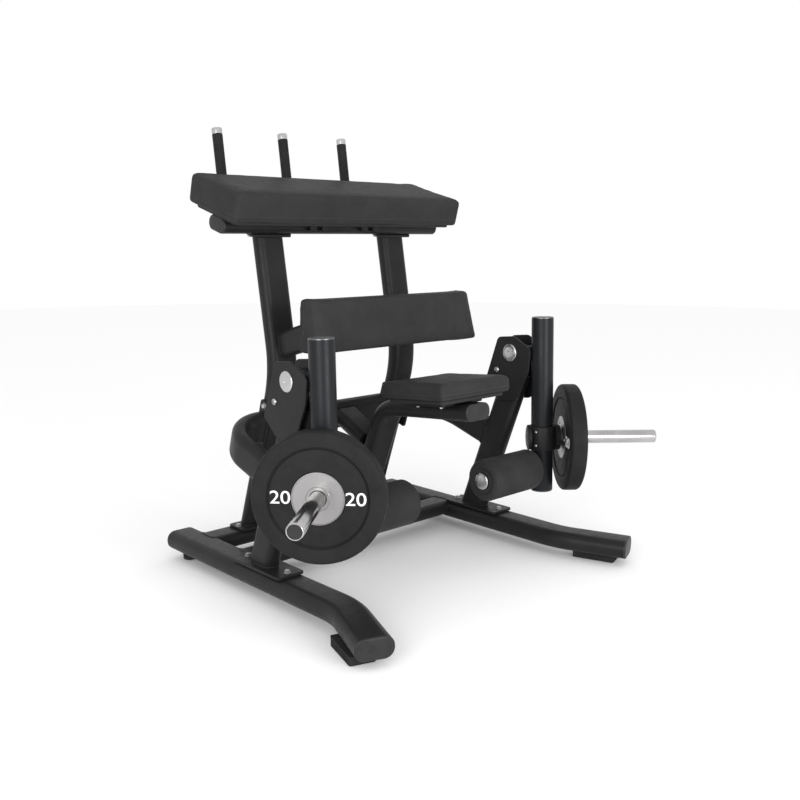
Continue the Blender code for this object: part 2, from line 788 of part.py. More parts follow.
def weight_plate(side, sign, looks):
    """Rubber ring: raised rim, shallow groove and a flat web round the steel hub."""
    inner = PLATE_HUB_RADIUS + GAP
    face = PLATE_HALF
    half = [
        (inner, face - 0.003),
        (0.147, face - 0.003),
        (0.151, face - 0.007),
        (0.157, face),
        (0.196, face),
        (PLATE_RADIUS, face - 0.008),
    ]
    profile = half + [(radius, -height) for radius, height in reversed(half)]
    centre = horn_base(sign) + horn_direction(sign) * PLATE_CENTRE
    bm = turned(profile, 32, centre, horn_direction(sign), closed=True)
    finish(f"{side}_weight_plate", bm, looks["rubber"], centre)


def plate_hub(side, sign, looks):
    """Steel hub pressed in the middle of the plate, bored for the horn."""
    bore = HORN_RADIUS + 0.0008
    face = PLATE_HALF - 0.001
    half = [(bore, face - 0.001), (bore + 0.001, face), (PLATE_HUB_RADIUS - 0.002, face)]
    half.append((PLATE_HUB_RADIUS, face - 0.002))
    profile = half + [(radius, -height) for radius, height in reversed(half)]
    centre = horn_base(sign) + horn_direction(sign) * PLATE_CENTRE
    bm = turned(profile, 32, centre, horn_direction(sign), closed=True)
    finish(f"{side}_plate_hub", bm, looks["steel"], centre)


# ---- ankle rollers --------------------------------------------------------------------


def roller_centre(sign, x):
    return Vector((sign * x, lever_axis(0.0, ROLLER_Z).y, ROLLER_Z))


def roller_pad(side, sign, looks):
    """Foam roller with rounded shoulders, bored for its axle."""
    half = (ROLLER_OUTER_X - ROLLER_INNER_X) / 2
    middle = roller_centre(sign, (ROLLER_OUTER_X + ROLLER_INNER_X) / 2)
    end = [
        (AXLE_RADIUS + GAP, half),
        (ROLLER_RADIUS - 0.018, half),
        (ROLLER_RADIUS - 0.006, half - 0.005),
        (ROLLER_RADIUS, half - 0.018),
    ]
    profile = end + [(radius, -height) for radius, height in reversed(end)]
    bm = turned(profile, 28, middle, AXIS_X, closed=True)
    finish(f"{side}_roller", bm, looks["pad"], middle)


def roller_axle(side, sign, looks):
    """Axle fixed to the lever tube, with a broad washer head on its free end."""
    head = ROLLER_INNER_X - 0.0010
    profile = [
        (0.0, head - 0.004),
        (0.028, head - 0.004),
        (0.030, head - 0.002),
        (0.030, head),
        (AXLE_RADIUS, head),
        (AXLE_RADIUS, ROLLER_OUTER_X + 0.003),
        (0.020, ROLLER_OUTER_X + 0.003),
        (0.020, RAIL_X - LEVER_RADIUS + 0.012),
        (0.0, RAIL_X - LEVER_RADIUS + 0.012),
    ]
    base = roller_centre(sign, 0.0)
    bm = turned(profile, 24, base, AXIS_X * sign)
    axle = finish(f"{side}_roller_axle", bm, looks["steel"], pivot(sign))
    name = f"{side}_axle_cope"
    cut(axle, lever_shape(name, sign, LEVER_RADIUS + GAP, 0.26, 0.40, looks))


# ---- pads -----------------------------------------------------------------------------


def cushion(name, size, centre, tilt, looks, edge):
    turn = Matrix.Rotation(tilt, 4, "X")
    finish(name, box(size, centre, turn, edge, 3), looks["pad"], smooth_angle=60)


def pad_board(name, size, centre, tilt, looks):
    turn = Matrix.Rotation(tilt, 4, "X")
    finish(name, box(size, centre, turn), looks["board"])


def arm_pad(looks):
    centre = in_side_view(0.0, ARM_PAD_CENTRE)
    cushion("arm_pad", ARM_PAD_SIZE, centre, ARM_PAD_TILT, looks, 0.024)
    drop = ARM_PAD_SIZE[2] / 2 + GAP + ARM_BOARD_THICK / 2
    below = centre + Matrix.Rotation(ARM_PAD_TILT, 3, "X") @ Vector((0, 0, -drop))
    size = (ARM_PAD_SIZE[0] - 0.04, ARM_PAD_SIZE[1] - 0.04, ARM_BOARD_THICK)
    pad_board("arm_pad_board", size, below, ARM_PAD_TILT, looks)


def thigh_pad(looks):
    """Wedge cushion: flat at the back, its front face leaning away going up."""
    bm = bmesh.new()
    bmesh.ops.create_cube(bm, size=1.0)
    for vert in bm.verts:
        level = 1 if vert.co.z > 0 else 0
        x = THIGH_PAD_HALF[level] * (1 if vert.co.x > 0 else -1)
        y = THIGH_PAD_BACK_Y if vert.co.y > 0 else THIGH_PAD_FRONT_Y[level]
        vert.co = Vector((x, y, THIGH_PAD_Z[level]))
    edges = list(bm.edges)
    bmesh.ops.bevel(bm, geom=edges, offset=0.015, segments=3, profile=0.5, affect="EDGES")
    finish("thigh_pad", bm, looks["pad"], smooth_angle=60)
    behind = THIGH_PAD_BACK_Y + GAP + BOARD_THICK / 2
    wide = 2 * min(THIGH_PAD_HALF) - 0.03
    tall = THIGH_PAD_Z[1] - THIGH_PAD_Z[0] - 0.03
    middle = (0.0, behind, sum(THIGH_PAD_Z) / 2)
    pad_board("thigh_pad_board", (wide, BOARD_THICK, tall), middle, 0.0, looks)


def knee_pad(looks):
    centre = in_side_view(0.0, KNEE_PAD_CENTRE)
    cushion("knee_pad", KNEE_PAD_SIZE, centre, KNEE_PAD_TILT, looks, 0.016)
    drop = KNEE_PAD_SIZE[2] / 2 + GAP + BOARD_THICK / 2
    below = centre + Matrix.Rotation(KNEE_PAD_TILT, 3, "X") @ Vector((0, 0, -drop))
    size = (KNEE_PAD_SIZE[0] - 0.03, KNEE_PAD_SIZE[1] - 0.03, BOARD_THICK)
    pad_board("knee_pad_board", size, below, KNEE_PAD_TILT, looks)


# ---- bars that carry the pads ---------------------------------------------------------


def under_arm_pad(x, drop):
    """A point below the arm pad's middle, over the crossbar's centre line."""
    tilt = Matrix.Rotation(ARM_PAD_TILT, 3, "X")
    centre = in_side_view(x, ARM_PAD_CENTRE)
    return centre + tilt @ Vector((0.0, CROSSBAR_SHIFT, -drop))


def crossbar_drop():
    return ARM_PAD_SIZE[2] / 2 + ARM_BOARD_THICK + 2 * GAP + CROSSBAR_SHORT / 2


def crossbar_shape(spare):
    """The crossbar's solid, made larger by a clearance when it is used as a cutter."""
    wide = CROSSBAR_LONG + 2 * spare
    tall = CROSSBAR_SHORT + 2 * spare
    section = lying_oval(wide, tall, CROSSBAR_CORNER + spare)
    up = Matrix.Rotation(ARM_PAD_TILT, 3, "X") @ AXIS_Z
    start = under_arm_pad(-CROSSBAR_HALF, crossbar_drop())
    end = under_arm_pad(CROSSBAR_HALF, crossbar_drop())
    return straight(start, end, section, up)


def top_crossbar(looks):
    """Flat tube that lies tilted under the arm pad's board."""
    finish("top_crossbar", crossbar_shape(0.0), looks["frame"])


def upright_front_y(z):
    """Front face of the uprights' upper half at a height."""
    rise = UPRIGHT_TOP[1] - UPRIGHT_KNEE[1]
    lean = (UPRIGHT_TOP[0] - UPRIGHT_KNEE[0]) / rise
    middle = UPRIGHT_TOP[0] - lean * (UPRIGHT_TOP[1] - z)
    return middle - (TUBE_SHORT / 2 + GAP) * math.hypot(1.0, lean)


def thigh_arm_z(y):
    return THIGH_ARM_MIDDLE[1] + THIGH_ARM_SLOPE * (THIGH_ARM_MIDDLE[0] - y)


def thigh_bar(looks):
    """Arm from each upright up to the thigh pad's board, joined by a bar behind it."""
    half = UPRIGHT_X - 0.010
    start = (-half, THIGH_BAR_Y, thigh_arm_z(THIGH_BAR_Y))
    end = (half, THIGH_BAR_Y, thigh_arm_z(THIGH_BAR_Y))
    section = oval(THIGH_BAR_LONG, THIGH_BAR_SHORT, 0.023)
    bar = finish("thigh_bar", straight(start, end, section, AXIS_Z), looks["frame"])
    section = oval(THIGH_ARM_LONG, THIGH_ARM_SHORT, 0.025)
    front = THIGH_PAD_BACK_Y + BOARD_THICK + 2 * GAP
    lean = upright_front_y(1.0) - upright_front_y(0.0)
    level = upright_front_y(0.0) + lean * thigh_arm_z(0.0)
    rear = level / (1 + lean * THIGH_ARM_SLOPE)
    upright_face = Vector((0.0, 1.0, -lean)).normalized()
    for side, sign in SIDES:
        x = sign * UPRIGHT_X
        near = (x, front + 0.004, thigh_arm_z(front + 0.004))
        far = (x, rear, thigh_arm_z(rear))
        arm = straight(near, far, section, AXIS_Z, AXIS_Y, upright_face)
        weld(bar, finish(f"{side}_thigh_arm", arm, looks["frame"]))
        plate = box((0.110, 0.008, 0.100), (x, front + 0.004, 0.884))
        weld(bar, finish(f"{side}_thigh_plate", plate, looks["frame"]))


# ---- hand grips -----------------------------------------------------------------------


def handle_start(x):
    """Middle of the crossbar's rear edge, where the handle tube meets it."""
    tilt = Matrix.Rotation(ARM_PAD_TILT, 3, "X")
    back = tilt @ Vector((0.0, CROSSBAR_LONG / 2 - CROSSBAR_CORNER, 0.0))
    return under_arm_pad(x, crossbar_drop()) + back


def handle_knee(x):
    return Vector((x, HANDLE_KNEE_Y, handle_start(x).z))


def handle_lean(x):
    return (in_side_view(x, HANDLE_TOP) - handle_knee(x)).normalized()


def handle(side, x, looks):
    """Bent tube from the back of the crossbar up behind the arm pad, with a cap on top."""
    top = in_side_view(x, HANDLE_TOP)
    lean = handle_lean(x)
    low = top - lean * (HANDLE_CAP_LONG / 2)
    path = bent_path([handle_start(x), handle_knee(x), low], HANDLE_BEND, 6)
    bm = swept(path, circle(HANDLE_RADIUS, 16), AXIS_X)
    tube = finish(f"{side}_handle", bm, looks["frame"])
    profile = rod_profile(GRIP_RADIUS, 0.0, HANDLE_CAP_LONG, 0.0015)
    cap = turned(profile, 16, top - lean * HANDLE_CAP_LONG, lean)
    weld(tube, finish(f"{side}_handle_cap", cap, looks["steel"]))
    cut(tube, finish(f"{side}_crossbar_shape", crossbar_shape(GAP), looks["frame"]))


def grip(side, x, looks):
    """Rubber sleeve on a handle, under its cap."""
    lean = handle_lean(x)
    high = in_side_view(x, HANDLE_TOP) - lean * (HANDLE_CAP_LONG + GAP)
    low = high - lean * GRIP_LONG
    bore = HANDLE_RADIUS + GAP
    profile = [
        (bore, 0.0),
        (GRIP_RADIUS - 0.001, 0.0),
        (GRIP_RADIUS, 0.002),
        (GRIP_RADIUS, GRIP_LONG - 0.002),
        (GRIP_RADIUS - 0.001, GRIP_LONG),
        (bore, GRIP_LONG),
    ]
    bm = turned(profile, 16, low, lean, closed=True)
    finish(f"{side}_grip", bm, looks["rubber"])


# ---- assembly -------------------------------------------------------------------------


def build():
    for old in list(bpy.data.objects):
        bpy.data.objects.remove(old)
    looks = make_materials()
    floor_cross_tube("rear_cross_tube", REAR_CROSS_Y, looks)
    floor_cross_tube("front_cross_tube", FRONT_CROSS_Y, looks)
    seat_column(looks)
    column_brace(looks)
    mid_cross_tube(looks)
    top_crossbar(looks)
    thigh_bar(looks)
    arm_pad(looks)
    thigh_pad(looks)
    knee_pad(looks)
    for side, x in HANDLE_XS:
        handle(side, x, looks)
        grip(side, x, looks)
    for side, sign in SIDES:
        base_rail(side, sign, looks)
        rail_caps(side, sign, looks)
        front_foot(side, sign, looks)
        rear_foot(side, sign, looks)
        upright(side, sign, looks)
        side_brace(side, sign, looks)
        pivot_post(side, sign, looks)
        bracket_plate(f"{side}_outer_bracket", sign, sign, looks)
        bracket_plate(f"{side}_inner_bracket", sign, -sign, looks)
        pivot_shaft(side, sign, looks)
        pivot_bush(side, sign, looks)
        lever_arm(side, sign, looks)
        lever_tube(side, sign, looks)
        horn_collar(side, sign, looks)
        weight_horn(side, sign, looks)
        weight_plate(side, sign, looks)
        plate_hub(side, sign, looks)
        roller_axle(side, sign, looks)
        roller_pad(side, sign, looks)
    for made in bpy.data.objects:
        made.location.y -= MIDDLE_Y


build()
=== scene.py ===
"""Plate-loaded kneeling leg curl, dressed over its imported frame.

Lengths are metres. Routes are laid out with y measured from a line just behind the
pivots, as the machine is built, and put_on moves each piece onto the frame's origin.
"""

import math

import bmesh
import bpy
from mathutils import Matrix, Vector
from mathutils.bvhtree import BVHTree


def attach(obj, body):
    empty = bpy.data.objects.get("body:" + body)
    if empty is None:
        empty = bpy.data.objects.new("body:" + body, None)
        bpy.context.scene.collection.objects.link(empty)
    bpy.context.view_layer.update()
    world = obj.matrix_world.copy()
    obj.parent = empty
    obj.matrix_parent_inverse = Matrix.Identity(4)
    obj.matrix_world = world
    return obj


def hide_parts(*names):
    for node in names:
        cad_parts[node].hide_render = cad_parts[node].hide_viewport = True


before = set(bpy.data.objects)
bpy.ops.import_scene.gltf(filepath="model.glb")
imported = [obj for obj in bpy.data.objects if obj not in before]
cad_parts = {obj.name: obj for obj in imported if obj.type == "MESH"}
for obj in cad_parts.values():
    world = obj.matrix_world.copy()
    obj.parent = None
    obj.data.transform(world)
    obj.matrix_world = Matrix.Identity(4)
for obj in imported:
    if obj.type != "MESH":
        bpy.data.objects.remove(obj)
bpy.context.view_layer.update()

# ---- sizes of the machine --------------------------------------------------------------

MIDDLE_Y = 0.1337
AXIS_X, AXIS_Y, AXIS_Z = Vector((1, 0, 0)), Vector((0, 1, 0)), Vector((0, 0, 1))
SIDES = (("left", -1), ("right", 1))

TUBE_LONG, TUBE_SHORT, TUBE_CORNER = 0.115, 0.058, 0.027
PLATE_THICK = 0.010
GAP = 0.0003

RAIL_X, RAIL_WIDE, RAIL_TALL, RAIL_CORNER = 0.529, 0.122, 0.069, 0.032
FLOOR_FRAME_TOP = 0.102
RAIL_Z = FLOOR_FRAME_TOP - RAIL_TALL / 2
RAIL_REAR_Y, RAIL_BEND_Y = 0.728, -0.245
RAIL_FRONT = Vector((0.627, -0.482, 0.063))
FRONT_FOOT_REAR, FRONT_FOOT_FRONT = Vector((0.581, -0.288)), Vector((0.631, -0.439))
FRONT_FOOT_HALF = 0.0425
REAR_FOOT_Y, REAR_FOOT_RADIUS = 0.680, 0.025
CROSS_Z = FLOOR_FRAME_TOP - TUBE_SHORT / 2
REAR_CROSS_Y, FRONT_CROSS_Y = 0.603, 0.350

UPRIGHT_X, UPRIGHT_BASE_Y = 0.295, 0.590
UPRIGHT_KNEE, UPRIGHT_TOP, UPRIGHT_RADIUS = (0.376, 0.721), (0.459, 1.210), 0.40
SEAT_FRONT, COLUMN_KNEE, COLUMN_BASE_Y = (-0.300, 0.631), (0.135, 0.594), 0.338
COLUMN_RADIUS = 0.10
BRACE_FRONT, BRACE_REAR = (0.240, 0.455), (0.392, 0.528)
SPINE_Y, SPINE_Z, SPINE_SLOPE, SIDE_BRACE_RADIUS = 0.430, 0.524, 0.32, 0.160

POST_Y_AT_REF, POST_REF_Z, POST_LEAN, POST_TOP_Z = 0.090, 0.376, 0.378, 0.693
PIVOT_Y, PIVOT_Z = -0.0215, 0.762
BRACKET_INNER_FACE, BRACKET_THICK = 0.038, 0.008
BRACKET_OUTLINE = (
    (0.040, 0.819, 0.022), (-0.040, 0.827, 0.040), (-0.122, 0.782, 0.022),
    (-0.113, 0.696, 0.060), (-0.060, 0.579, 0.030), (0.035, 0.573, 0.030),
    (0.104, 0.636, 0.014),
)

LEVER_RADIUS, LEVER_TOP, LEVER_BOTTOM = 0.0413, (-0.140, 0.905), (-0.157, 0.236)
HUB_RADIUS, HUB_HALF, SHAFT_RADIUS, BUSH_RADIUS = 0.036, 0.036, 0.016, 0.020
SHAFT_HEAD_RADIUS, SHAFT_HEAD_THICK = 0.033, 0.006
HORN_ANGLE, HORN_Z, HORN_RADIUS, HORN_END = math.radians(40.6), 0.444, 0.025, 0.438
COLLAR_RADIUS, COLLAR_START, COLLAR_END = 0.048, -0.056, 0.0665
SLEEVE_RADIUS, SLEEVE_HALF = 0.050, 0.046
PLATE_RADIUS, PLATE_HALF, PLATE_CENTRE, PLATE_HUB_RADIUS = 0.203, 0.030, 0.1010, 0.081
ROLLER_RADIUS, ROLLER_Z, ROLLER_INNER_X, ROLLER_OUTER_X = 0.076, 0.333, 0.183, 0.462
AXLE_RADIUS = 0.0125

ARM_PAD_SIZE, ARM_PAD_CENTRE = (1.060, 0.300, 0.107), (0.440, 1.334)
ARM_PAD_TILT, ARM_BOARD_THICK = math.radians(15.7), 0.010
THIGH_PAD_HALF, THIGH_PAD_FRONT_Y = (0.391, 0.381), (0.060, 0.101)
THIGH_PAD_BACK_Y, THIGH_PAD_Z = 0.168, (0.813, 0.998)
KNEE_PAD_SIZE, KNEE_PAD_CENTRE = (0.335, 0.300, 0.058), (-0.146, 0.699)
KNEE_PAD_TILT, BOARD_THICK = math.radians(-4.9), 0.012

CROSSBAR_LONG, CROSSBAR_SHORT, CROSSBAR_CORNER = 0.100, 0.052, 0.025
CROSSBAR_SHIFT, CROSSBAR_HALF = -0.014, 0.510
THIGH_ARM_MIDDLE, THIGH_ARM_SLOPE = (0.300, 0.841), 0.281
THIGH_ARM_LONG, THIGH_ARM_SHORT = 0.095, 0.055
THIGH_BAR_Y, THIGH_BAR_LONG, THIGH_BAR_SHORT = 0.235, 0.085, 0.050
HANDLE_XS = (("left", -0.299), ("centre", 0.0), ("right", 0.299))
HANDLE_RADIUS, HANDLE_KNEE_Y, HANDLE_TOP, HANDLE_BEND = 0.016, 0.710, (0.760, 1.600), 0.060
HANDLE_CAP_LONG, GRIP_RADIUS, GRIP_LONG = 0.023, 0.0195, 0.170
RIPPLE_SPACING = 0.0028

# ---- finishes --------------------------------------------------------------------------


class Finish:
    """A material that is built up in layers of grain, mottle and bump."""

    def __init__(self, name, colour, **sockets):
        self.material = bpy.data.materials.new(name)
        self.material.use_nodes = True
        self.tree = self.material.node_tree
        self.shader = self.tree.nodes["Principled BSDF"]
        self.shader.inputs["Base Color"].default_value = (*colour, 1)
        for socket, value in sockets.items():
            self.shader.inputs[socket.replace("_", " ")].default_value = value
        self.place = self.node("ShaderNodeTexCoord").outputs["Object"]
        self.height = None

    def node(self, kind, inputs=(), **settings):
        made = self.tree.nodes.new(kind)
        for key, value in settings.items():
            setattr(made, key, value)
        for key, value in dict(inputs).items():
            if isinstance(value, bpy.types.NodeSocket):
                self.tree.links.new(value, made.inputs[key])
            else:
                made.inputs[key].default_value = value
        return made

    def noise(self, scale, detail=3.0, rough=0.55):
        inputs = {"Vector": self.place, "Scale": scale, "Detail": detail, "Roughness": rough}
        return self.node("ShaderNodeTexNoise", inputs).outputs["Fac"]

    def grain(self, scale, feature="F1"):
        inputs = {"Vector": self.place, "Scale": scale, "Randomness": 0.9}
        cells = self.node("ShaderNodeTexVoronoi", inputs, feature=feature)
        return cells.outputs["Distance"]

    def between(self, value, low, high, start=0.3, end=0.7):
        inputs = {"Value": value, "From Min": start, "From Max": end}
        inputs.update({"To Min": low, "To Max": high})
        return self.node("ShaderNodeMapRange", inputs, clamp=True).outputs["Result"]

    def colour(self, value, dark, light):
        inputs = {"Factor": value, "A": (*dark, 1), "B": (*light, 1)}
        mix = self.node("ShaderNodeMix", inputs, data_type="RGBA")
        self.tree.links.new(mix.outputs["Result"], self.shader.inputs["Base Color"])

    def roughness(self, value):
        self.tree.links.new(value, self.shader.inputs["Roughness"])

    def bump(self, value, depth, strength=1.0):
        inputs = {"Height": value, "Distance": depth, "Strength": strength}
        made = self.node("ShaderNodeBump", inputs)
        if self.height is not None:
            self.tree.links.new(self.height, made.inputs["Normal"])
        self.height = made.outputs["Normal"]
        self.tree.links.new(self.height, self.shader.inputs["Normal"])


def powder_coat():
    """Satin black powder coat: orange peel, faint scuffs and dust."""
    coat = Finish("satin_powder_coat", (0.012, 0.012, 0.013), Specular_IOR_Level=0.16)
    mottle = coat.noise(7.0, 4.0)
    coat.colour(coat.between(mottle, 0, 1), (0.010, 0.010, 0.0105), (0.016, 0.016, 0.0168))
    coat.roughness(coat.between(coat.noise(38.0, 5.0, 0.65), 0.34, 0.48))
    coat.bump(coat.noise(420.0, 2.0), 0.00022, 0.55)
    coat.bump(coat.noise(1500.0, 1.0), 0.00006, 0.5)
    return coat.material


def lever_coat():
    """Glossier graphite coat on the levers, with fine metallic fleck."""
    coat = Finish("gloss_graphite_coat", (0.016, 0.017, 0.020), Metallic=0.15,
                  Specular_IOR_Level=0.16, Coat_Weight=0.03, Coat_Roughness=0.25)
    fleck = coat.between(coat.grain(1400.0), 0, 1, 0.15, 0.5)
    coat.colour(fleck, (0.017, 0.0183, 0.0213), (0.010, 0.0107, 0.0125))
    coat.roughness(coat.between(coat.noise(24.0, 4.0), 0.36, 0.46))
    coat.bump(coat.noise(300.0, 2.0), 0.00012, 0.5)
    return coat.material


def leatherette():
    """Charcoal upholstery vinyl with a pebbled grain and soft creases."""
    skin = Finish("charcoal_leatherette", (0.030, 0.030, 0.031), Specular_IOR_Level=0.03)
    pebble = skin.grain(620.0, "SMOOTH_F1")
    mottle = skin.noise(11.0, 4.0, 0.6)
    skin.colour(skin.between(mottle, 0, 1), (0.026, 0.026, 0.0267), (0.034, 0.034, 0.0347))
    skin.roughness(skin.between(skin.noise(45.0, 5.0, 0.7), 0.42, 0.54))
    skin.bump(skin.noise(26.0, 4.0, 0.6), 0.0011, 0.22)
    skin.bump(pebble, 0.00035, 0.6)
    return skin.material


def seam_thread():
    """Twisted thread, a shade lighter than the cover."""
    thread = Finish("seam_thread", (0.05, 0.05, 0.052), Specular_IOR_Level=0.3)
    twist = thread.noise(2600.0, 1.0)
    thread.colour(thread.between(twist, 0, 1), (0.030, 0.030, 0.031), (0.062, 0.062, 0.064))
    thread.roughness(thread.between(twist, 0.55, 0.75))
    thread.bump(twist, 0.0002, 0.8)
    return thread.material


def black_board():
    """Painted pad board with a faint wood grain under the paint."""
    board = Finish("black_pad_board", (0.016, 0.016, 0.016), Specular_IOR_Level=0.25)
    place = {"Vector": board.place, "Scale": (3.0, 40.0, 40.0)}
    stretched = board.node("ShaderNodeMapping", place).outputs["Vector"]
    fibre = board.node("ShaderNodeTexNoise", {"Vector": stretched, "Scale": 6.0,
                                              "Detail": 5.0}).outputs["Fac"]
    board.colour(board.between(fibre, 0, 1), (0.012, 0.012, 0.012), (0.022, 0.021, 0.020))
    board.roughness(board.between(fibre, 0.55, 0.75))
    board.bump(fibre, 0.0003, 0.6)
    return board.material


def rubber(name, dark, light, rough, scale=900.0):
    """Moulded rubber with a matt, slightly pitted skin and dusty patches."""
    skin = Finish(name, dark, Specular_IOR_Level=0.09)
    dust = skin.noise(16.0, 5.0, 0.65)
    skin.colour(skin.between(dust, 0, 1), dark, light)
    skin.roughness(skin.between(skin.noise(70.0, 4.0), rough, rough + 0.14))
    skin.bump(skin.grain(scale), 0.00020, 0.5)
    skin.bump(skin.noise(180.0, 3.0), 0.0002, 0.35)
    return skin.material


def cap_plastic():
    """Black moulded end caps with a fine spark texture."""
    skin = Finish("black_cap_plastic", (0.02, 0.02, 0.02), Specular_IOR_Level=0.2)
    mottle = skin.noise(30.0, 4.0)
    skin.colour(skin.between(mottle, 0, 1), (0.016, 0.016, 0.016), (0.026, 0.026, 0.026))
    skin.roughness(skin.between(skin.noise(90.0, 3.0), 0.36, 0.5))
    skin.bump(skin.noise(1100.0, 2.0), 0.00015, 0.6)
    return skin.material


def turned_steel(name, dark, light, low, high, centre, axis, pitch=1500.0):
    """Machined steel with fine rings round the axis of its piece."""
    metal = Finish(name, light, Metallic=1.0)
    turn = Vector(axis).rotation_difference(AXIS_Z).to_euler()
    shifted = metal.node("ShaderNodeVectorMath", operation="SUBTRACT")
    metal.tree.links.new(metal.place, shifted.inputs[0])
    shifted.inputs[1].default_value = centre
    turned_round = metal.node("ShaderNodeVectorRotate", rotation_type="EULER_XYZ")
    metal.tree.links.new(shifted.outputs["Vector"], turned_round.inputs["Vector"])
    turned_round.inputs["Rotation"].default_value = turn
    flat = metal.node("ShaderNodeVectorMath", operation="MULTIPLY")
    metal.tree.links.new(turned_round.outputs["Vector"], flat.inputs[0])
    flat.inputs[1].default_value = (1, 1, 0)
    out = metal.node("ShaderNodeVectorMath", operation="LENGTH")
    metal.tree.links.new(flat.outputs["Vector"], out.inputs[0])
    rings = metal.node("ShaderNodeTexNoise", noise_dimensions="1D")
    metal.tree.links.new(out.outputs["Value"], rings.inputs["W"])
    rings.inputs["Scale"].default_value = pitch
    rings.inputs["Detail"].default_value = 3.0
    fine = rings.outputs["Fac"]
    metal.colour(metal.between(fine, 0, 1), dark, light)
    metal.roughness(metal.between(metal.noise(60.0, 4.0), low, high))
    metal.bump(fine, 0.00006, 0.5)
    return metal.material


def plain_metal(name, dark, light, low, high, scale=120.0):
    """Plated metal with faint smudges and a fine brushed haze."""
    metal = Finish(name, light, Metallic=1.0)
    smudge = metal.noise(scale / 6, 4.0, 0.6)
    metal.colour(metal.between(smudge, 0, 1), dark, light)
    metal.roughness(metal.between(metal.noise(scale, 5.0, 0.7), low, high))
    metal.bump(metal.noise(scale * 8, 2.0), 0.00003, 0.5)
    return metal.material


def plate_paint():
    """White paint of the plate's numbers, slightly chalky and worn."""
    paint = Finish("number_paint", (0.75, 0.75, 0.74), Specular_IOR_Level=0.3)
    wear = paint.noise(220.0, 5.0, 0.7)
    paint.colour(paint.between(wear, 0, 1, 0.2, 0.5), (0.50, 0.50, 0.49), (0.80, 0.80, 0.79))
    paint.roughness(paint.between(wear, 0.45, 0.65))
    paint.bump(wear, 0.0001, 0.6)
    return paint.material


COAT = powder_coat()
LEVER_COAT = lever_coat()
LEATHER = leatherette()
THREAD = seam_thread()
BOARD = black_board()
FOOT_RUBBER = rubber("foot_rubber", (0.018, 0.018, 0.018), (0.030, 0.030, 0.029), 0.62)
GRIP_RUBBER = rubber("grip_rubber", (0.014, 0.014, 0.014), (0.022, 0.022, 0.022), 0.52)
PLATE_RUBBER = rubber("plate_rubber", (0.012, 0.012, 0.012), (0.018, 0.018, 0.018), 0.50,
                      700.0)
CAP = cap_plastic()
BOLT = plain_metal("zinc_bolts", (0.30, 0.30, 0.30), (0.52, 0.52, 0.52), 0.28, 0.42)
CHROME = plain_metal("horn_chrome", (0.40, 0.39, 0.39), (0.50, 0.49, 0.49), 0.12, 0.22)
SILVER_CAP = plain_metal("silver_caps", (0.42, 0.42, 0.42), (0.56, 0.56, 0.56), 0.24, 0.34)
PLUG_STEEL = plain_metal("lever_plugs", (0.10, 0.10, 0.105), (0.16, 0.16, 0.165), 0.30, 0.42)
BRONZE = plain_metal("oiled_bronze", (0.30, 0.19, 0.09), (0.45, 0.30, 0.15), 0.32, 0.45)
NUMBER = plate_paint()

# ---- shape helpers ---------------------------------------------------------------------


def put_on(name, bm, look, body="frame", stands_for=(), smooth=35.0):
    """Turns a shape into a piece of the machine that moves with one body."""
    bmesh.ops.recalc_face_normals(bm, faces=bm.faces)
    bmesh.ops.translate(bm, verts=bm.verts, vec=(0, -MIDDLE_Y, 0))
    mesh = bpy.data.meshes.new(name)
    bm.to_mesh(mesh)
    bm.free()
    mesh.materials.clear()
    mesh.materials.append(look)
    mesh.shade_smooth()
    mesh.set_sharp_from_angle(angle=math.radians(smooth))
    made = bpy.data.objects.new(name, mesh)
    bpy.context.scene.collection.objects.link(made)
    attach(made, body)
    if stands_for:
        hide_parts(*stands_for)
    return made


def together(*shapes):
    whole = bmesh.new()
    for bm in shapes:
        mesh = bpy.data.meshes.new("joined")
        bm.to_mesh(mesh)
        bm.free()
        whole.from_mesh(mesh)
        bpy.data.meshes.remove(mesh)
    return whole


def rounded_outline(corners, steps=10):
    """A closed outline from (u, v, radius) corners, each turned into an arc."""
    outline = []
    for index, (u, v, radius) in enumerate(corners):
        here = Vector((u, v))
        before = (Vector(corners[index - 1][:2]) - here).normalized()
        after = (Vector(corners[(index + 1) % len(corners)][:2]) - here).normalized()
        half = before.angle(after) / 2
        reach = radius / math.tan(half)
        centre = here + (before + after).normalized() * (radius / math.sin(half))
        start = here + before * reach - centre
        turn = start.angle_signed(here + after * reach - centre)
        for step in range(steps + 1):
            outline.append(centre + Matrix.Rotation(-turn * step / steps, 2) @ start)
    return outline


def rounded_rectangle(wide, tall, corner, steps=10):
    u, v = wide / 2, tall / 2
    corners = [(u, v, corner), (-u, v, corner), (-u, -v, corner), (u, -v, corner)]
    return rounded_outline(corners, steps)


def oval(long_side=TUBE_LONG, short_side=TUBE_SHORT, corner=TUBE_CORNER):
    return rounded_rectangle(long_side, short_side, corner, 12)


def lying(outline):
    return [Vector((p.y, p.x)) for p in outline]


def circle(radius, steps):
    turns = [2 * math.pi * step / steps for step in range(steps)]
    return [Vector((radius * math.cos(a), radius * math.sin(a))) for a in turns]


def bent_path(points, radius, steps=20):
    """A line through the points with each inner corner turned into an arc."""
    points = [Vector(point) for point in points]
    path = [points[0]]
    for before, here, after in zip(points, points[1:], points[2:]):
        back, on = (before - here).normalized(), (after - here).normalized()
        half = back.angle(on) / 2
        reach = radius / math.tan(half)
        centre = here + (back + on).normalized() * (radius / math.sin(half))
        start = here + back * reach - centre
        axis = start.cross(here + on * reach - centre).normalized()
        turn = math.pi - 2 * half
        for step in range(steps + 1):
            path.append(centre + Matrix.Rotation(turn * step / steps, 3, axis) @ start)
    path.append(points[-1])
    return path


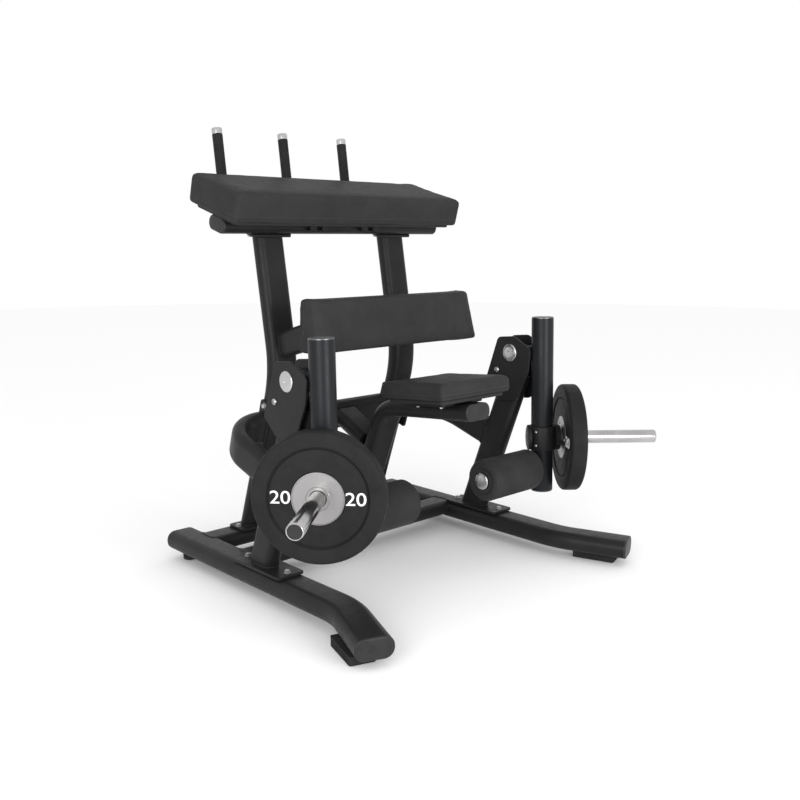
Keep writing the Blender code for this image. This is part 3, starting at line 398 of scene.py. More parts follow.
def lofted(rings, closed=False):
    """A skin over rings of equal count, with its two ends filled unless it is closed."""
    bm = bmesh.new()
    made = [[bm.verts.new(p) for p in ring] for ring in rings]
    pairs = list(zip(made, made[1:]))
    if closed:
        pairs.append((made[-1], made[0]))
    for ring, following in pairs:
        for index in range(len(ring)):
            after = (index + 1) % len(ring)
            bm.faces.new((ring[index], ring[after], following[after], following[index]))
    if not closed:
        bm.faces.new(made[0])
        bm.faces.new(made[-1])
    return bm


def ring_at(point, along, section, long_axis, face=None):
    along = along.normalized()
    up = (long_axis - long_axis.dot(along) * along).normalized()
    across = along.cross(up)
    face = face or along
    ring = []
    for p in section:
        spot = up * p.x + across * p.y
        ring.append(point + spot - along * (face.dot(spot) / face.dot(along)))
    return ring


def rings_along(path, section, long_axis, start_face=None, end_face=None):
    faces = {0: start_face, len(path) - 1: end_face}
    rings = []
    for index, point in enumerate(path):
        ahead = path[min(index + 1, len(path) - 1)] - path[max(index - 1, 0)]
        rings.append(ring_at(point, ahead, section, long_axis, faces.get(index)))
    return rings


def swept(path, section, long_axis, start_face=None, end_face=None):
    return lofted(rings_along(path, section, long_axis, start_face, end_face))


def straight(start, end, section, long_axis, start_face=None, end_face=None):
    ends = [Vector(start), Vector(end)]
    return swept(ends, section, long_axis, start_face, end_face)


def cord_loop(loop, radii, sides=8):
    """A thin closed cord along a loop of points, whose radii repeat from point to point."""
    middle = sum(loop, Vector()) / len(loop)
    rings = []
    for index, point in enumerate(loop):
        along = (loop[(index + 1) % len(loop)] - loop[index - 1]).normalized()
        out = point - middle
        out = (out - out.dot(along) * along).normalized()
        across = along.cross(out)
        spots = circle(radii[index % len(radii)], sides)
        rings.append([point + out * p.x + across * p.y for p in spots])
    return lofted(rings, closed=True)


def spaced_loop(loop, spacing):
    """The same closed loop with points at an even spacing."""
    spots, carried = [], 0.0
    for here, following in zip(loop, loop[1:] + loop[:1]):
        length = (following - here).length
        while carried < length:
            spots.append(here.lerp(following, carried / length))
            carried += spacing
        carried -= length
    return spots


def weld_bead(loop, radius=0.0032):
    """A fillet weld whose ripples follow one another along the joint."""
    return cord_loop(spaced_loop(loop, RIPPLE_SPACING), (radius * 0.86, radius), 6)


def tube_weld(point, along, section, long_axis, face):
    return weld_bead(ring_at(Vector(point), Vector(along), section, long_axis, face))


def turned(profile, steps, base, axis, closed=False):
    """A turned piece from (radius, height) points, heights measured along the axis."""
    bm = bmesh.new()
    rings = []
    for radius, height in profile:
        if radius == 0.0:
            rings.append([bm.verts.new((0.0, 0.0, height))] * steps)
            continue
        spots = circle(radius, steps)
        rings.append([bm.verts.new((p.x, p.y, height)) for p in spots])
    pairs = list(zip(rings, rings[1:]))
    if closed:
        pairs.append((rings[-1], rings[0]))
    for ring, following in pairs:
        for index in range(steps):
            after = (index + 1) % steps
            corners = (ring[index], ring[after], following[after], following[index])
            bm.faces.new(dict.fromkeys(corners))
    turn = AXIS_Z.rotation_difference(Vector(axis)).to_matrix().to_4x4()
    bmesh.ops.transform(bm, verts=bm.verts, matrix=Matrix.Translation(base) @ turn)
    return bm


def rounded(radius, low, high, edge, steps=5):
    """Profile of a rod whose two rims are rounded over."""
    turns = [math.pi / 2 * step / steps for step in range(steps + 1)]
    inner, bottom, top = radius - edge, low + edge, high - edge
    lower = [(inner + edge * math.sin(turn), bottom - edge * math.cos(turn)) for turn in turns]
    upper = [(inner + edge * math.cos(turn), top + edge * math.sin(turn)) for turn in turns]
    return [(0.0, low)] + lower + upper + [(0.0, high)]


def box(size, centre, turn=None, edge=0.003, edge_steps=3):
    bm = bmesh.new()
    bmesh.ops.create_cube(bm, size=1.0)
    bmesh.ops.scale(bm, verts=bm.verts, vec=size)
    bmesh.ops.bevel(bm, geom=list(bm.edges), offset=edge, segments=edge_steps,
                    profile=0.5, affect="EDGES")
    place = Matrix.Translation(centre) @ (turn or Matrix.Identity(4))
    bmesh.ops.transform(bm, verts=bm.verts, matrix=place)
    return bm


def slab(size, centre, turn=None, corner=0.012, edge=0.0015):
    """A flat plate with rounded corners and eased edges."""
    half = size[2] / 2
    rings = []
    for inset, height in ((edge, -half), (0, edge - half), (0, half - edge), (edge, half)):
        outline = rounded_rectangle(size[0] - 2 * inset, size[1] - 2 * inset, corner - inset, 6)
        rings.append([Vector((p.x, p.y, height)) for p in outline])
    bm = lofted(rings)
    place = Matrix.Translation(centre) @ (turn or Matrix.Identity(4))
    bmesh.ops.transform(bm, verts=bm.verts, matrix=place)
    return bm


def cheek(outline, x_low, x_high, edge=0.0015):
    """A flat plate lying in the side view, from (y, z) points, with eased edges."""
    middle = sum(outline, Vector((0, 0))) / len(outline)
    rings = []
    for inset, x in ((edge, x_low), (0, x_low + edge), (0, x_high - edge), (edge, x_high)):
        ring = []
        for p in outline:
            spot = p - (p - middle).normalized() * inset
            ring.append(Vector((x, spot.x, spot.y)))
        rings.append(ring)
    return lofted(rings)


def in_side_view(x, point):
    return Vector((x, point[0], point[1]))


# ---- repeated parts, made with geometry nodes -------------------------------------------


def node_group(name, inputs):
    tree = bpy.data.node_groups.new(name, "GeometryNodeTree")
    tree.interface.new_socket("Geometry", in_out="INPUT", socket_type="NodeSocketGeometry")
    for label, kind in inputs:
        tree.interface.new_socket(label, in_out="INPUT", socket_type=kind)
    tree.interface.new_socket("Geometry", in_out="OUTPUT", socket_type="NodeSocketGeometry")
    return tree, tree.nodes.new("NodeGroupInput"), tree.nodes.new("NodeGroupOutput")


def close_group(tree, start, end, geometry):
    """Every tree ends by realising its instances and giving them their finish."""
    real = tree.nodes.new("GeometryNodeRealizeInstances")
    finish = tree.nodes.new("GeometryNodeSetMaterial")
    tree.links.new(geometry, real.inputs[0])
    tree.links.new(real.outputs[0], finish.inputs["Geometry"])
    tree.links.new(start.outputs["Finish"], finish.inputs["Material"])
    tree.links.new(finish.outputs[0], end.inputs[0])


def fastener_group():
    """Sets one fastener on each point, facing the way the point aims."""
    inputs = [("Fastener", "NodeSocketObject"), ("Size", "NodeSocketFloat"),
              ("Finish", "NodeSocketMaterial")]
    tree, start, end = node_group("fasteners", inputs)
    head = tree.nodes.new("GeometryNodeObjectInfo")
    aim = tree.nodes.new("GeometryNodeInputNamedAttribute")
    aim.data_type = "FLOAT_VECTOR"
    aim.inputs["Name"].default_value = "aim"
    size = tree.nodes.new("GeometryNodeInputNamedAttribute")
    size.data_type = "FLOAT"
    size.inputs["Name"].default_value = "size"
    scaled = tree.nodes.new("ShaderNodeMath")
    scaled.operation = "MULTIPLY"
    facing = tree.nodes.new("FunctionNodeAlignRotationToVector")
    facing.axis = "Z"
    setter = tree.nodes.new("GeometryNodeInstanceOnPoints")
    tree.links.new(start.outputs["Fastener"], head.inputs["Object"])
    tree.links.new(aim.outputs["Attribute"], facing.inputs["Vector"])
    tree.links.new(size.outputs["Attribute"], scaled.inputs[0])
    tree.links.new(start.outputs["Size"], scaled.inputs[1])
    tree.links.new(start.outputs["Geometry"], setter.inputs["Points"])
    tree.links.new(head.outputs["Geometry"], setter.inputs["Instance"])
    tree.links.new(facing.outputs["Rotation"], setter.inputs["Rotation"])
    tree.links.new(scaled.outputs[0], setter.inputs["Scale"])
    close_group(tree, start, end, setter.outputs[0])
    return tree


def stitch_group():
    """Lays stitches of one length along every line, at an even pitch."""
    inputs = [("Stitch", "NodeSocketObject"), ("Pitch", "NodeSocketFloat"),
              ("Finish", "NodeSocketMaterial")]
    tree, start, end = node_group("stitches", inputs)
    line = tree.nodes.new("GeometryNodeMeshToCurve")
    spaced = tree.nodes.new("GeometryNodeResampleCurve")
    spaced.mode = "LENGTH"
    along = tree.nodes.new("GeometryNodeInputTangent")
    facing = tree.nodes.new("FunctionNodeAlignRotationToVector")
    facing.axis = "X"
    stitch = tree.nodes.new("GeometryNodeObjectInfo")
    setter = tree.nodes.new("GeometryNodeInstanceOnPoints")
    tree.links.new(start.outputs["Geometry"], line.inputs["Mesh"])
    tree.links.new(line.outputs["Curve"], spaced.inputs["Curve"])
    tree.links.new(start.outputs["Pitch"], spaced.inputs["Length"])
    tree.links.new(start.outputs["Stitch"], stitch.inputs["Object"])
    tree.links.new(along.outputs["Tangent"], facing.inputs["Vector"])
    tree.links.new(spaced.outputs["Curve"], setter.inputs["Points"])
    tree.links.new(stitch.outputs["Geometry"], setter.inputs["Instance"])
    tree.links.new(facing.outputs["Rotation"], setter.inputs["Rotation"])
    close_group(tree, start, end, setter.outputs[0])
    return tree


FASTENERS = fastener_group()
STITCHES = stitch_group()


def helper(name, bm):
    """A shape that is only lent to a node tree and doesn't show."""
    mesh = bpy.data.meshes.new(name)
    bm.to_mesh(mesh)
    bm.free()
    made = bpy.data.objects.new(name, mesh)
    bpy.context.scene.collection.objects.link(made)
    made.hide_render = True
    return made


def from_tree(guide, tree, values):
    """What a node tree makes of a guide object, as a bmesh."""
    step = guide.modifiers.new("repeat", "NODES")
    step.node_group = tree
    named = {s.name: s.identifier for s in tree.interface.items_tree if s.in_out == "INPUT"}
    for label, value in values.items():
        step[named[label]] = value
    graph = bpy.context.evaluated_depsgraph_get()
    mesh = bpy.data.meshes.new_from_object(guide.evaluated_get(graph))
    bm = bmesh.new()
    bm.from_mesh(mesh)
    bpy.data.meshes.remove(mesh)
    bpy.data.objects.remove(guide)
    return bm


def hex_bolt():
    """Hexagon head on a washer, of radius 1 across its corners."""
    washer = turned([(0.0, 0.0), (1.20, 0.0), (1.20, 0.16), (1.12, 0.22), (0.0, 0.22)], 16,
                    (0, 0, 0), AXIS_Z)
    head = turned([(0.0, 0.22), (1.0, 0.22), (1.0, 0.74), (0.82, 0.86), (0.0, 0.86)], 6,
                  (0, 0, 0), AXIS_Z)
    return together(washer, head)


def button_bolt():
    """Domed head with a hexagon socket, of radius 1."""
    profile = [(0.0, 0.0), (1.0, 0.0), (1.0, 0.18), (0.86, 0.42), (0.58, 0.58), (0.48, 0.60),
               (0.44, 0.52), (0.42, 0.25), (0.0, 0.22)]
    return turned(profile, 12, (0, 0, 0), AXIS_Z)


HEX_BOLT = helper("hex_bolt_shape", hex_bolt())
BUTTON_BOLT = helper("button_bolt_shape", button_bolt())
STITCH = helper("stitch_shape", straight((-0.0022, 0, 0), (0.0022, 0, 0),
                                         circle(0.0006, 6), AXIS_Z))


def fasteners(name, body, spots, shape, look=BOLT):
    """One piece that holds all of a body's fasteners; spots are (point, aim, radius)."""
    bm = bmesh.new()
    for point, _, _ in spots:
        bm.verts.new(point)
    guide = helper(f"{name}_places", bm)
    aims = guide.data.attributes.new("aim", "FLOAT_VECTOR", "POINT")
    aims.data.foreach_set("vector", [value for _, aim, _ in spots for value in aim])
    sizes = guide.data.attributes.new("size", "FLOAT", "POINT")
    sizes.data.foreach_set("value", [radius for _, _, radius in spots])
    made = from_tree(guide, FASTENERS, {"Fastener": shape, "Size": 1.0, "Finish": look})
    return put_on(name, made, look, body)


def stitched(name, body, loops, pitch=0.0062):
    """Stitches along closed loops of points."""
    bm = bmesh.new()
    for loop in loops:
        verts = [bm.verts.new(point) for point in loop]
        for index, vert in enumerate(verts):
            bm.edges.new((vert, verts[(index + 1) % len(verts)]))
    guide = helper(f"{name}_line", bm)
    values = {"Stitch": STITCH, "Pitch": pitch, "Finish": THREAD}
    return put_on(name, from_tree(guide, STITCHES, values), THREAD, body)


# ---- floor frame -----------------------------------------------------------------------


def rail_bend(sign):
    return Vector((sign * RAIL_X, RAIL_BEND_Y, RAIL_Z))


def rail_front(sign):
    return Vector((sign * RAIL_FRONT.x, RAIL_FRONT.y, RAIL_FRONT.z))


def rail_rear(sign):
    return Vector((sign * RAIL_X, RAIL_REAR_Y, RAIL_Z))


def front_arm(sign):
    return (rail_front(sign) - rail_bend(sign)).normalized()


def rail_section():
    return lying(rounded_rectangle(RAIL_WIDE, RAIL_TALL, RAIL_CORNER, 12))


def base_rail(side, sign):
    path = bent_path([rail_rear(sign), rail_bend(sign), rail_front(sign)], 0.30)
    bm = swept(path, rail_section(), AXIS_Z)
    put_on(f"{side}_rail_tube", bm, COAT, stands_for=[f"{side}_base_rail"])


def domed_cap(end, outwards, thick, section, long_axis, squeeze=0.16):
    """Cap on a tube's end: a short collar that rolls over into a shallow dome."""
    rings = [ring_at(end + outwards * GAP, outwards, section, long_axis)]
    for step in range(9):
        turn = math.pi / 2 * step / 8
        reach = thick * (0.40 + 0.50 * math.sin(turn))
        scale = 1.0 - squeeze * (1 - math.cos(turn))
        flat = [p * scale for p in section]
        rings.append(ring_at(end + outwards * reach, outwards, flat, long_axis))
    for scale, reach in ((0.6, 0.97), (0.3, 1.0)):
        flat = [p * scale for p in section]
        rings.append(ring_at(end + outwards * thick * reach, outwards, flat, long_axis))
    return lofted(rings)


def rail_caps(side, sign):
    ends = (("rear", rail_rear(sign), AXIS_Y, 0.017),
            ("front", rail_front(sign), front_arm(sign), 0.010))
    for where, end, outwards, thick in ends:
        bm = domed_cap(end, outwards, thick, rail_section(), AXIS_Z)
        name = f"{side}_rail_{where}"
        put_on(f"{name}_end", bm, CAP, stands_for=[f"{name}_cap"])


def front_foot(side, sign):
    """Rubber block under the rail's front arm, ribbed down its sides."""
    along = front_arm(sign)
    slope = along.z / along.xy.length
    level = along.xy.normalized()
    under = rail_bend(sign).z - RAIL_TALL / 2 / along.xy.length - GAP
    back = Vector((sign * FRONT_FOOT_REAR.x, FRONT_FOOT_REAR.y))
    front = Vector((sign * FRONT_FOOT_FRONT.x, FRONT_FOOT_FRONT.y))
    run = (front - back).normalized()
    across = Vector((-run.y, run.x))
    middle = (front + back) / 2

    def level_ring(inset, height):
        wide = 2 * FRONT_FOOT_HALF - 2 * inset
        outline = rounded_rectangle((front - back).length - 2 * inset, wide, 0.008, 8)
        ring = []
        for p in outline:
            spot = middle + run * p.x + across * p.y
            top = under + slope * level.dot(spot - rail_bend(sign).xy)
            ring.append(Vector((spot.x, spot.y, top * height)))
        return ring

    heights = ((0.0025, 0.0), (0.0012, 0.02), (0.0012, 0.86), (0.0, 0.88), (0.0, 1.0))
    block = lofted([level_ring(inset, height) for inset, height in heights])
    outline = spaced_loop(level_ring(0.0012, 0.02), 0.0068)
    ribs = []
    for spot in outline:
        out = spot.xy - middle
        turn = Matrix.Rotation(math.atan2(out.y, out.x), 4, "Z")
        tall = (under + slope * level.dot(spot.xy - rail_bend(sign).xy)) * 0.84
        centre = Vector((spot.x, spot.y, tall / 2 + 0.001))
        ribs.append(straight(centre - AXIS_Z * tall / 2, centre + AXIS_Z * tall / 2,
                             circle(0.0012, 6), turn.to_3x3() @ AXIS_X))
    put_on(f"{side}_foot_block", together(block, *ribs), FOOT_RUBBER,
           stands_for=[f"{side}_front_foot"])


def rear_foot(side, sign):
    top = RAIL_Z - RAIL_TALL / 2 - GAP
    r = REAR_FOOT_RADIUS
    profile = [(0.0, 0.0), (r - 0.004, 0.0), (r - 0.001, 0.0012), (r, 0.004), (r, 0.012),
               (r - 0.001, 0.0128), (r - 0.001, 0.0142), (r, 0.015), (r, 0.019),
               (r - 0.0015, 0.0208), (r * 0.62, 0.0225), (r * 0.55, 0.0245), (r * 0.55, top),
               (0.0, top)]
    bm = turned(profile, 48, (sign * RAIL_X, REAR_FOOT_Y, 0.0), AXIS_Z)
    put_on(f"{side}_screw_foot", bm, FOOT_RUBBER,
           stands_for=[f"{side}_rear_foot"])


def rail_side(z):
    """How far the rail's rounded side stands from its middle at a height."""
    rise = max(abs(z - RAIL_Z) - (RAIL_TALL / 2 - RAIL_CORNER), 0.0)
    return RAIL_WIDE / 2 - RAIL_CORNER + math.sqrt(max(RAIL_CORNER**2 - rise**2, 0.0))


def floor_cross_tube(name, y):
    section = lying(oval())
    half = RAIL_X - RAIL_WIDE / 2 + RAIL_CORNER
    shapes = [straight((-half, y, CROSS_Z), (half, y, CROSS_Z), section, AXIS_Z)]
    for sign in (-1, 1):
        loop = []
        for p in section:
            z = CROSS_Z + p.x
            loop.append(Vector((sign * (RAIL_X - rail_side(z)), y + p.y, z)))
        shapes.append(weld_bead(loop))
    put_on(f"{name}_welded", together(*shapes), COAT, stands_for=[name])


# ---- uprights, seat column and braces --------------------------------------------------

FLOOR_PLATE_Z = FLOOR_FRAME_TOP + GAP + PLATE_THICK / 2
ARM_TURN = Matrix.Rotation(ARM_PAD_TILT, 4, "X")
KNEE_TURN = Matrix.Rotation(KNEE_PAD_TILT, 4, "X")
STAND = Matrix.Rotation(math.pi / 2, 4, "X")


def floor_plate(x, y, size):
    return slab((*size, PLATE_THICK), (x, y, FLOOR_PLATE_Z))


def under_arm_pad(x, drop, shift=CROSSBAR_SHIFT):
    centre = in_side_view(x, ARM_PAD_CENTRE)
    return centre + ARM_TURN.to_3x3() @ Vector((0.0, shift, -drop))


def crossbar_drop():
    return ARM_PAD_SIZE[2] / 2 + ARM_BOARD_THICK + 2 * GAP + CROSSBAR_SHORT / 2


HEAD_DROP = crossbar_drop() + CROSSBAR_SHORT / 2 + GAP + PLATE_THICK / 2


def upright(side, sign):
    """Boomerang tube from the rear cross tube to the crossbar, with welded end plates."""
    x = sign * UPRIGHT_X
    base = Vector((x, UPRIGHT_BASE_Y, FLOOR_PLATE_Z))
    top = in_side_view(x, UPRIGHT_TOP)
    path = bent_path([base, in_side_view(x, UPRIGHT_KNEE), top], UPRIGHT_RADIUS, 28)
    arm_normal = ARM_TURN.to_3x3() @ AXIS_Z
    rise = (path[1] - path[0]).normalized()
    fall = (path[-2] - path[-1]).normalized()
    head_middle = under_arm_pad(x, HEAD_DROP)
    foot_weld = base + rise * (PLATE_THICK / 2 / rise.z)
    drop = (top - head_middle).dot(arm_normal) + PLATE_THICK / 2
    head_weld = top + fall * (drop / -fall.dot(arm_normal))
    shapes = [
        swept(path, oval(), AXIS_X, AXIS_Z, arm_normal),
        slab((0.170, 0.075, PLATE_THICK), head_middle, ARM_TURN),
        floor_plate(x, UPRIGHT_BASE_Y, (0.170, 0.100)),
        tube_weld(foot_weld, rise, oval(), AXIS_X, AXIS_Z),
        tube_weld(head_weld, fall, oval(), AXIS_X, arm_normal),
    ]
    put_on(f"{side}_upright_welded", together(*shapes), COAT,
           stands_for=[f"{side}_upright"])


def seat_column():
    """Seat tube and centre column in one bent tube, with pad plate and foot plate."""
    base = Vector((0.0, COLUMN_BASE_Y, FLOOR_PLATE_Z))
    front = in_side_view(0.0, SEAT_FRONT)
    path = bent_path([base, in_side_view(0.0, COLUMN_KNEE), front], COLUMN_RADIUS, 28)
    rise = (path[1] - path[0]).normalized()
    out = (path[-1] - path[-2]).normalized()
    path[-1] = path[-1] - out * 0.007
    under = KNEE_PAD_SIZE[2] / 2 + BOARD_THICK + 2 * GAP
    drop = KNEE_TURN.to_3x3() @ Vector((0, 0, -(under + 0.008)))
    centre = in_side_view(0.0, KNEE_PAD_CENTRE) + drop
    shapes = [
        swept(path, oval(), AXIS_X, AXIS_Z),
        slab((0.20, 0.16, 0.016), centre, KNEE_TURN),
        floor_plate(0.0, COLUMN_BASE_Y, (0.180, 0.100)),
        tube_weld(base + rise * (PLATE_THICK / 2 / rise.z), rise, oval(), AXIS_X, AXIS_Z),
    ]
    put_on("seat_column_welded", together(*shapes), COAT,
           stands_for=["seat_column"])
    cap = domed_cap(path[-1], out, 0.0068, oval(), AXIS_X)
    put_on("seat_tube_end", cap, CAP)


def column_brace():
    start, end = in_side_view(0.0, BRACE_FRONT), in_side_view(0.0, BRACE_REAR)
    put_on("column_brace_welded", straight(start, end, oval(), AXIS_X), COAT,
           stands_for=["column_brace"])


def spine_point(x, y):
    return Vector((x, y, SPINE_Z + SPINE_SLOPE * (y - SPINE_Y)))


SPINE_NORMAL = Vector((0.0, -SPINE_SLOPE, 1.0)).normalized()


def upright_lean():
    rise = UPRIGHT_KNEE[1] - RAIL_Z
    return Matrix.Rotation(math.atan2(UPRIGHT_BASE_Y - UPRIGHT_KNEE[0], rise), 4, "X")


def bolting_plate(x):
    turn = upright_lean() @ Matrix.Rotation(math.pi / 2, 4, "Y")
    return slab((0.200, 0.056, PLATE_THICK), spine_point(x, SPINE_Y), turn, 0.010)


def mid_cross_tube():
    half = UPRIGHT_X - TUBE_LONG / 2 - GAP
    start, end = spine_point(-half, SPINE_Y), spine_point(half, SPINE_Y)
    shapes = [straight(start, end, oval(), SPINE_NORMAL)]
    for sign in (-1, 1):
        shapes.append(bolting_plate(sign * (half - PLATE_THICK / 2)))
        weld = spine_point(sign * (half - PLATE_THICK), SPINE_Y)
        shapes.append(tube_weld(weld, AXIS_X, oval(), SPINE_NORMAL, AXIS_X))
    put_on("mid_cross_tube_welded", together(*shapes), COAT,
           stands_for=["mid_cross_tube"])


def post_axis(x, z):
    return Vector((x, POST_Y_AT_REF - POST_LEAN * (z - POST_REF_Z), z))


def side_brace(side, sign):
    """Quarter-bend tube from the back of a post round to the outside of an upright."""
    x_end = UPRIGHT_X + TUBE_LONG / 2 + GAP
    middle_z = SPINE_Z + SPINE_SLOPE * (0.13 - SPINE_Y)
    lean = Vector((0.0, -POST_LEAN, 1.0)).normalized()
    back = lean.cross(AXIS_X)
    axis_spot = spine_point(sign * RAIL_X, post_axis(0, middle_z).y)
    corner = spine_point(sign * RAIL_X, SPINE_Y)
    along = (corner - axis_spot).normalized()

    def behind_post(reach):
        short = (post_axis(axis_spot.x, axis_spot.z) - axis_spot).dot(back)
        return axis_spot + along * (short + reach) / along.dot(back)

    end = spine_point(sign * x_end, SPINE_Y)
    path = bent_path([behind_post(0.034), corner, end], SIDE_BRACE_RADIUS, 32)
    plate_x = x_end + PLATE_THICK
    shapes = [
        swept(path, oval(), SPINE_NORMAL, back),
        bolting_plate(sign * (x_end + PLATE_THICK / 2)),
        tube_weld(spine_point(sign * plate_x, SPINE_Y), AXIS_X, oval(), SPINE_NORMAL, AXIS_X),
        tube_weld(behind_post(TUBE_LONG / 2 - 0.003), along, oval(), SPINE_NORMAL, back),
    ]
    put_on(f"{side}_side_brace_welded", together(*shapes), COAT,
           stands_for=[f"{side}_side_brace"])


# ---- pivot posts -----------------------------------------------------------------------


def pivot(sign):
    return Vector((sign * RAIL_X, PIVOT_Y, PIVOT_Z))


def pivot_post(side, sign):
    x = sign * RAIL_X
    lean = Vector((0.0, -POST_LEAN, 1.0)).normalized()
    base, top = post_axis(x, FLOOR_PLATE_Z), post_axis(x, POST_TOP_Z)
    across = AXIS_X.cross(lean)
    rings = rings_along([base, top - lean * 0.003, top], oval(), across, AXIS_Z)
    rings[-1] = ring_at(top, lean, [p * 0.96 for p in oval()], across)
    shapes = [
        lofted(rings),
        floor_plate(x, 0.172, (0.108, 0.274)),
        tube_weld(base + lean * (PLATE_THICK / 2 / lean.z), lean, oval(), across, AXIS_Z),
    ]
    put_on(f"{side}_post_welded", together(*shapes), COAT,
           stands_for=[f"{side}_pivot_post"])


def bracket(side, where, sign, direction):
    """One cheek plate of the pivot bracket and the spacer that holds it off the post."""
    near = sign * RAIL_X + direction * BRACKET_INNER_FACE
    far = near + direction * BRACKET_THICK
    outline = rounded_outline(BRACKET_OUTLINE, 10)
    on_post = TUBE_SHORT / 2 + GAP
    inside = BRACKET_INNER_FACE + BRACKET_THICK / 2
    lean = Matrix.Rotation(math.atan(POST_LEAN), 4, "X")
    centre = post_axis(sign * RAIL_X + direction * (on_post + inside) / 2, 0.640)
    shapes = [
        cheek(outline, min(near, far), max(near, far)),
        box((inside - on_post, 0.060, 0.080), centre, lean, 0.002),
    ]
    put_on(f"{side}_{where}_cheek", together(*shapes), COAT,
           stands_for=[f"{side}_{where}_bracket"])


def pivot_shaft(side, sign):
    """Shaft with a broad domed cap on each end, dimpled in the middle."""
    seat = BRACKET_INNER_FACE + BRACKET_THICK + GAP
    head = seat + SHAFT_HEAD_THICK
    r = SHAFT_HEAD_RADIUS
    half = [(0.0, head - 0.0022), (0.0035, head - 0.0020), (0.0050, head - 0.0004),
            (0.0075, head), (r * 0.62, head - 0.0007), (r * 0.86, head - 0.0018),
            (r - 0.001, head - 0.0034), (r, head - 0.0046), (r, seat), (SHAFT_RADIUS, seat)]
    profile = half + [(radius, -height) for radius, height in reversed(half)]
    look = turned_steel(f"{side}_cap_steel", (0.40, 0.40, 0.40), (0.62, 0.62, 0.62), 0.24,
                        0.34, pivot(sign) - AXIS_Y * MIDDLE_Y, AXIS_X)
    put_on(f"{side}_capped_shaft", turned(profile, 64, pivot(sign), AXIS_X), look,
           stands_for=[f"{side}_pivot_shaft"])


# ---- levers ----------------------------------------------------------------------------


def lever_axis(x, z):
    slope = (LEVER_TOP[0] - LEVER_BOTTOM[0]) / (LEVER_TOP[1] - LEVER_BOTTOM[1])
    return Vector((x, LEVER_BOTTOM[0] + slope * (z - LEVER_BOTTOM[1]), z))


def lever_tube(side, sign):
    """Round tube with a bright plug pressed in each end."""
    body = f"{side}_lever"
    low = lever_axis(sign * RAIL_X, LEVER_BOTTOM[1])
    high = lever_axis(sign * RAIL_X, LEVER_TOP[1])
    length, axis = (high - low).length, (high - low).normalized()
    tube = turned(rounded(LEVER_RADIUS, 0.0055, length - 0.0055, 0.0012, 3), 72, low, axis)
    put_on(f"{side}_lever_bar", tube, LEVER_COAT, body,
           [f"{side}_lever_tube"])
    r = LEVER_RADIUS
    plug = [(0.0, 0.0), (r * 0.55, 0.0), (r * 0.62, 0.0010), (r * 0.68, 0.0), (r - 0.005, 0.0),
            (r - 0.0022, 0.0006), (r - 0.0008, 0.0020), (r - 0.0004, 0.0052), (0.0, 0.0054)]
    far = [(radius, length - height) for radius, height in reversed(plug)]
    ends = together(turned(plug, 72, low, axis), turned(far, 72, low, axis))
    put_on(f"{side}_lever_plugs", ends, PLUG_STEEL, body)


def lever_arm(side, sign):
    """Hub on the shaft and the block that carries the lever tube."""
    body = f"{side}_lever"
    b, r, h = BUSH_RADIUS + GAP, HUB_RADIUS, HUB_HALF
    hub = [(b, 0.001 - h), (b + 0.001, -h), (r - 0.002, -h), (r, 0.002 - h), (r, h - 0.002),
           (r - 0.002, h), (b + 0.001, h), (b, h - 0.001)]
    reach, start = lever_axis(0.0, PIVOT_Z).y + LEVER_RADIUS - 0.004, PIVOT_Y - HUB_RADIUS + 0.008
    centre = (sign * RAIL_X, (reach + start) / 2, PIVOT_Z)
    shapes = [turned(hub, 64, pivot(sign), AXIS_X, closed=True),
              box((0.052, abs(reach - start), 0.058), centre, edge=0.005)]
    put_on(f"{side}_lever_hub", together(*shapes), LEVER_COAT, body,
           [f"{side}_lever_arm"])


def pivot_bush(side, sign):
    half, s, b = HUB_HALF + 0.0012, SHAFT_RADIUS + GAP, BUSH_RADIUS
    profile = [(s, 0.0006 - half), (s + 0.0006, -half), (b - 0.0006, -half), (b, 0.0006 - half),
               (b, half - 0.0006), (b - 0.0006, half), (s + 0.0006, half), (s, half - 0.0006)]
    put_on(f"{side}_bronze_bush", turned(profile, 64, pivot(sign), AXIS_X, closed=True),
           BRONZE, f"{side}_lever", [f"{side}_pivot_bush"])


def horn_direction(sign):
    return Vector((sign * math.cos(HORN_ANGLE), -math.sin(HORN_ANGLE), 0.0))


def horn_base(sign):
    return lever_axis(sign * RAIL_X, HORN_Z)


def horn_collar(side, sign):
    """Cast clamp round the lever tube with the boss that holds the horn."""
    low = lever_axis(sign * RAIL_X, HORN_Z - SLEEVE_HALF)
    high = lever_axis(sign * RAIL_X, HORN_Z + SLEEVE_HALF)
    length, axis = (high - low).length, (high - low).normalized()
    inner, outer = LEVER_RADIUS + GAP, SLEEVE_RADIUS
    sleeve = [(inner, 0.002), (inner + 0.002, 0.0), (outer - 0.003, 0.0), (outer - 0.001, 0.001),
              (outer, 0.003), (outer, length - 0.003), (outer - 0.001, length - 0.001),
              (outer - 0.003, length), (inner + 0.002, length), (inner, length - 0.002)]
    r = COLLAR_RADIUS
    boss = [(0.0, 0.044), (r + 0.004, 0.044), (r + 0.002, 0.047), (r + 0.0005, 0.049),
            (r, 0.051), (r, COLLAR_END - 0.003), (r - 0.001, COLLAR_END - 0.001),
            (r - 0.003, COLLAR_END), (HORN_RADIUS + 0.003, COLLAR_END),
            (HORN_RADIUS + 0.0015, COLLAR_END - 0.0012), (0.0, COLLAR_END - 0.0012)]
    rear = [(0.0, COLLAR_START), (r - 0.004, COLLAR_START), (r - 0.001, COLLAR_START + 0.001),
            (r, COLLAR_START + 0.004), (r, -0.046), (0.0, -0.046)]
    shapes = [turned(sleeve, 72, low, axis, closed=True)]
    shapes += [turned(p, 64, horn_base(sign), horn_direction(sign)) for p in (boss, rear)]
    put_on(f"{side}_collar_casting", together(*shapes), COAT,
           f"{side}_lever", [f"{side}_horn_collar"])


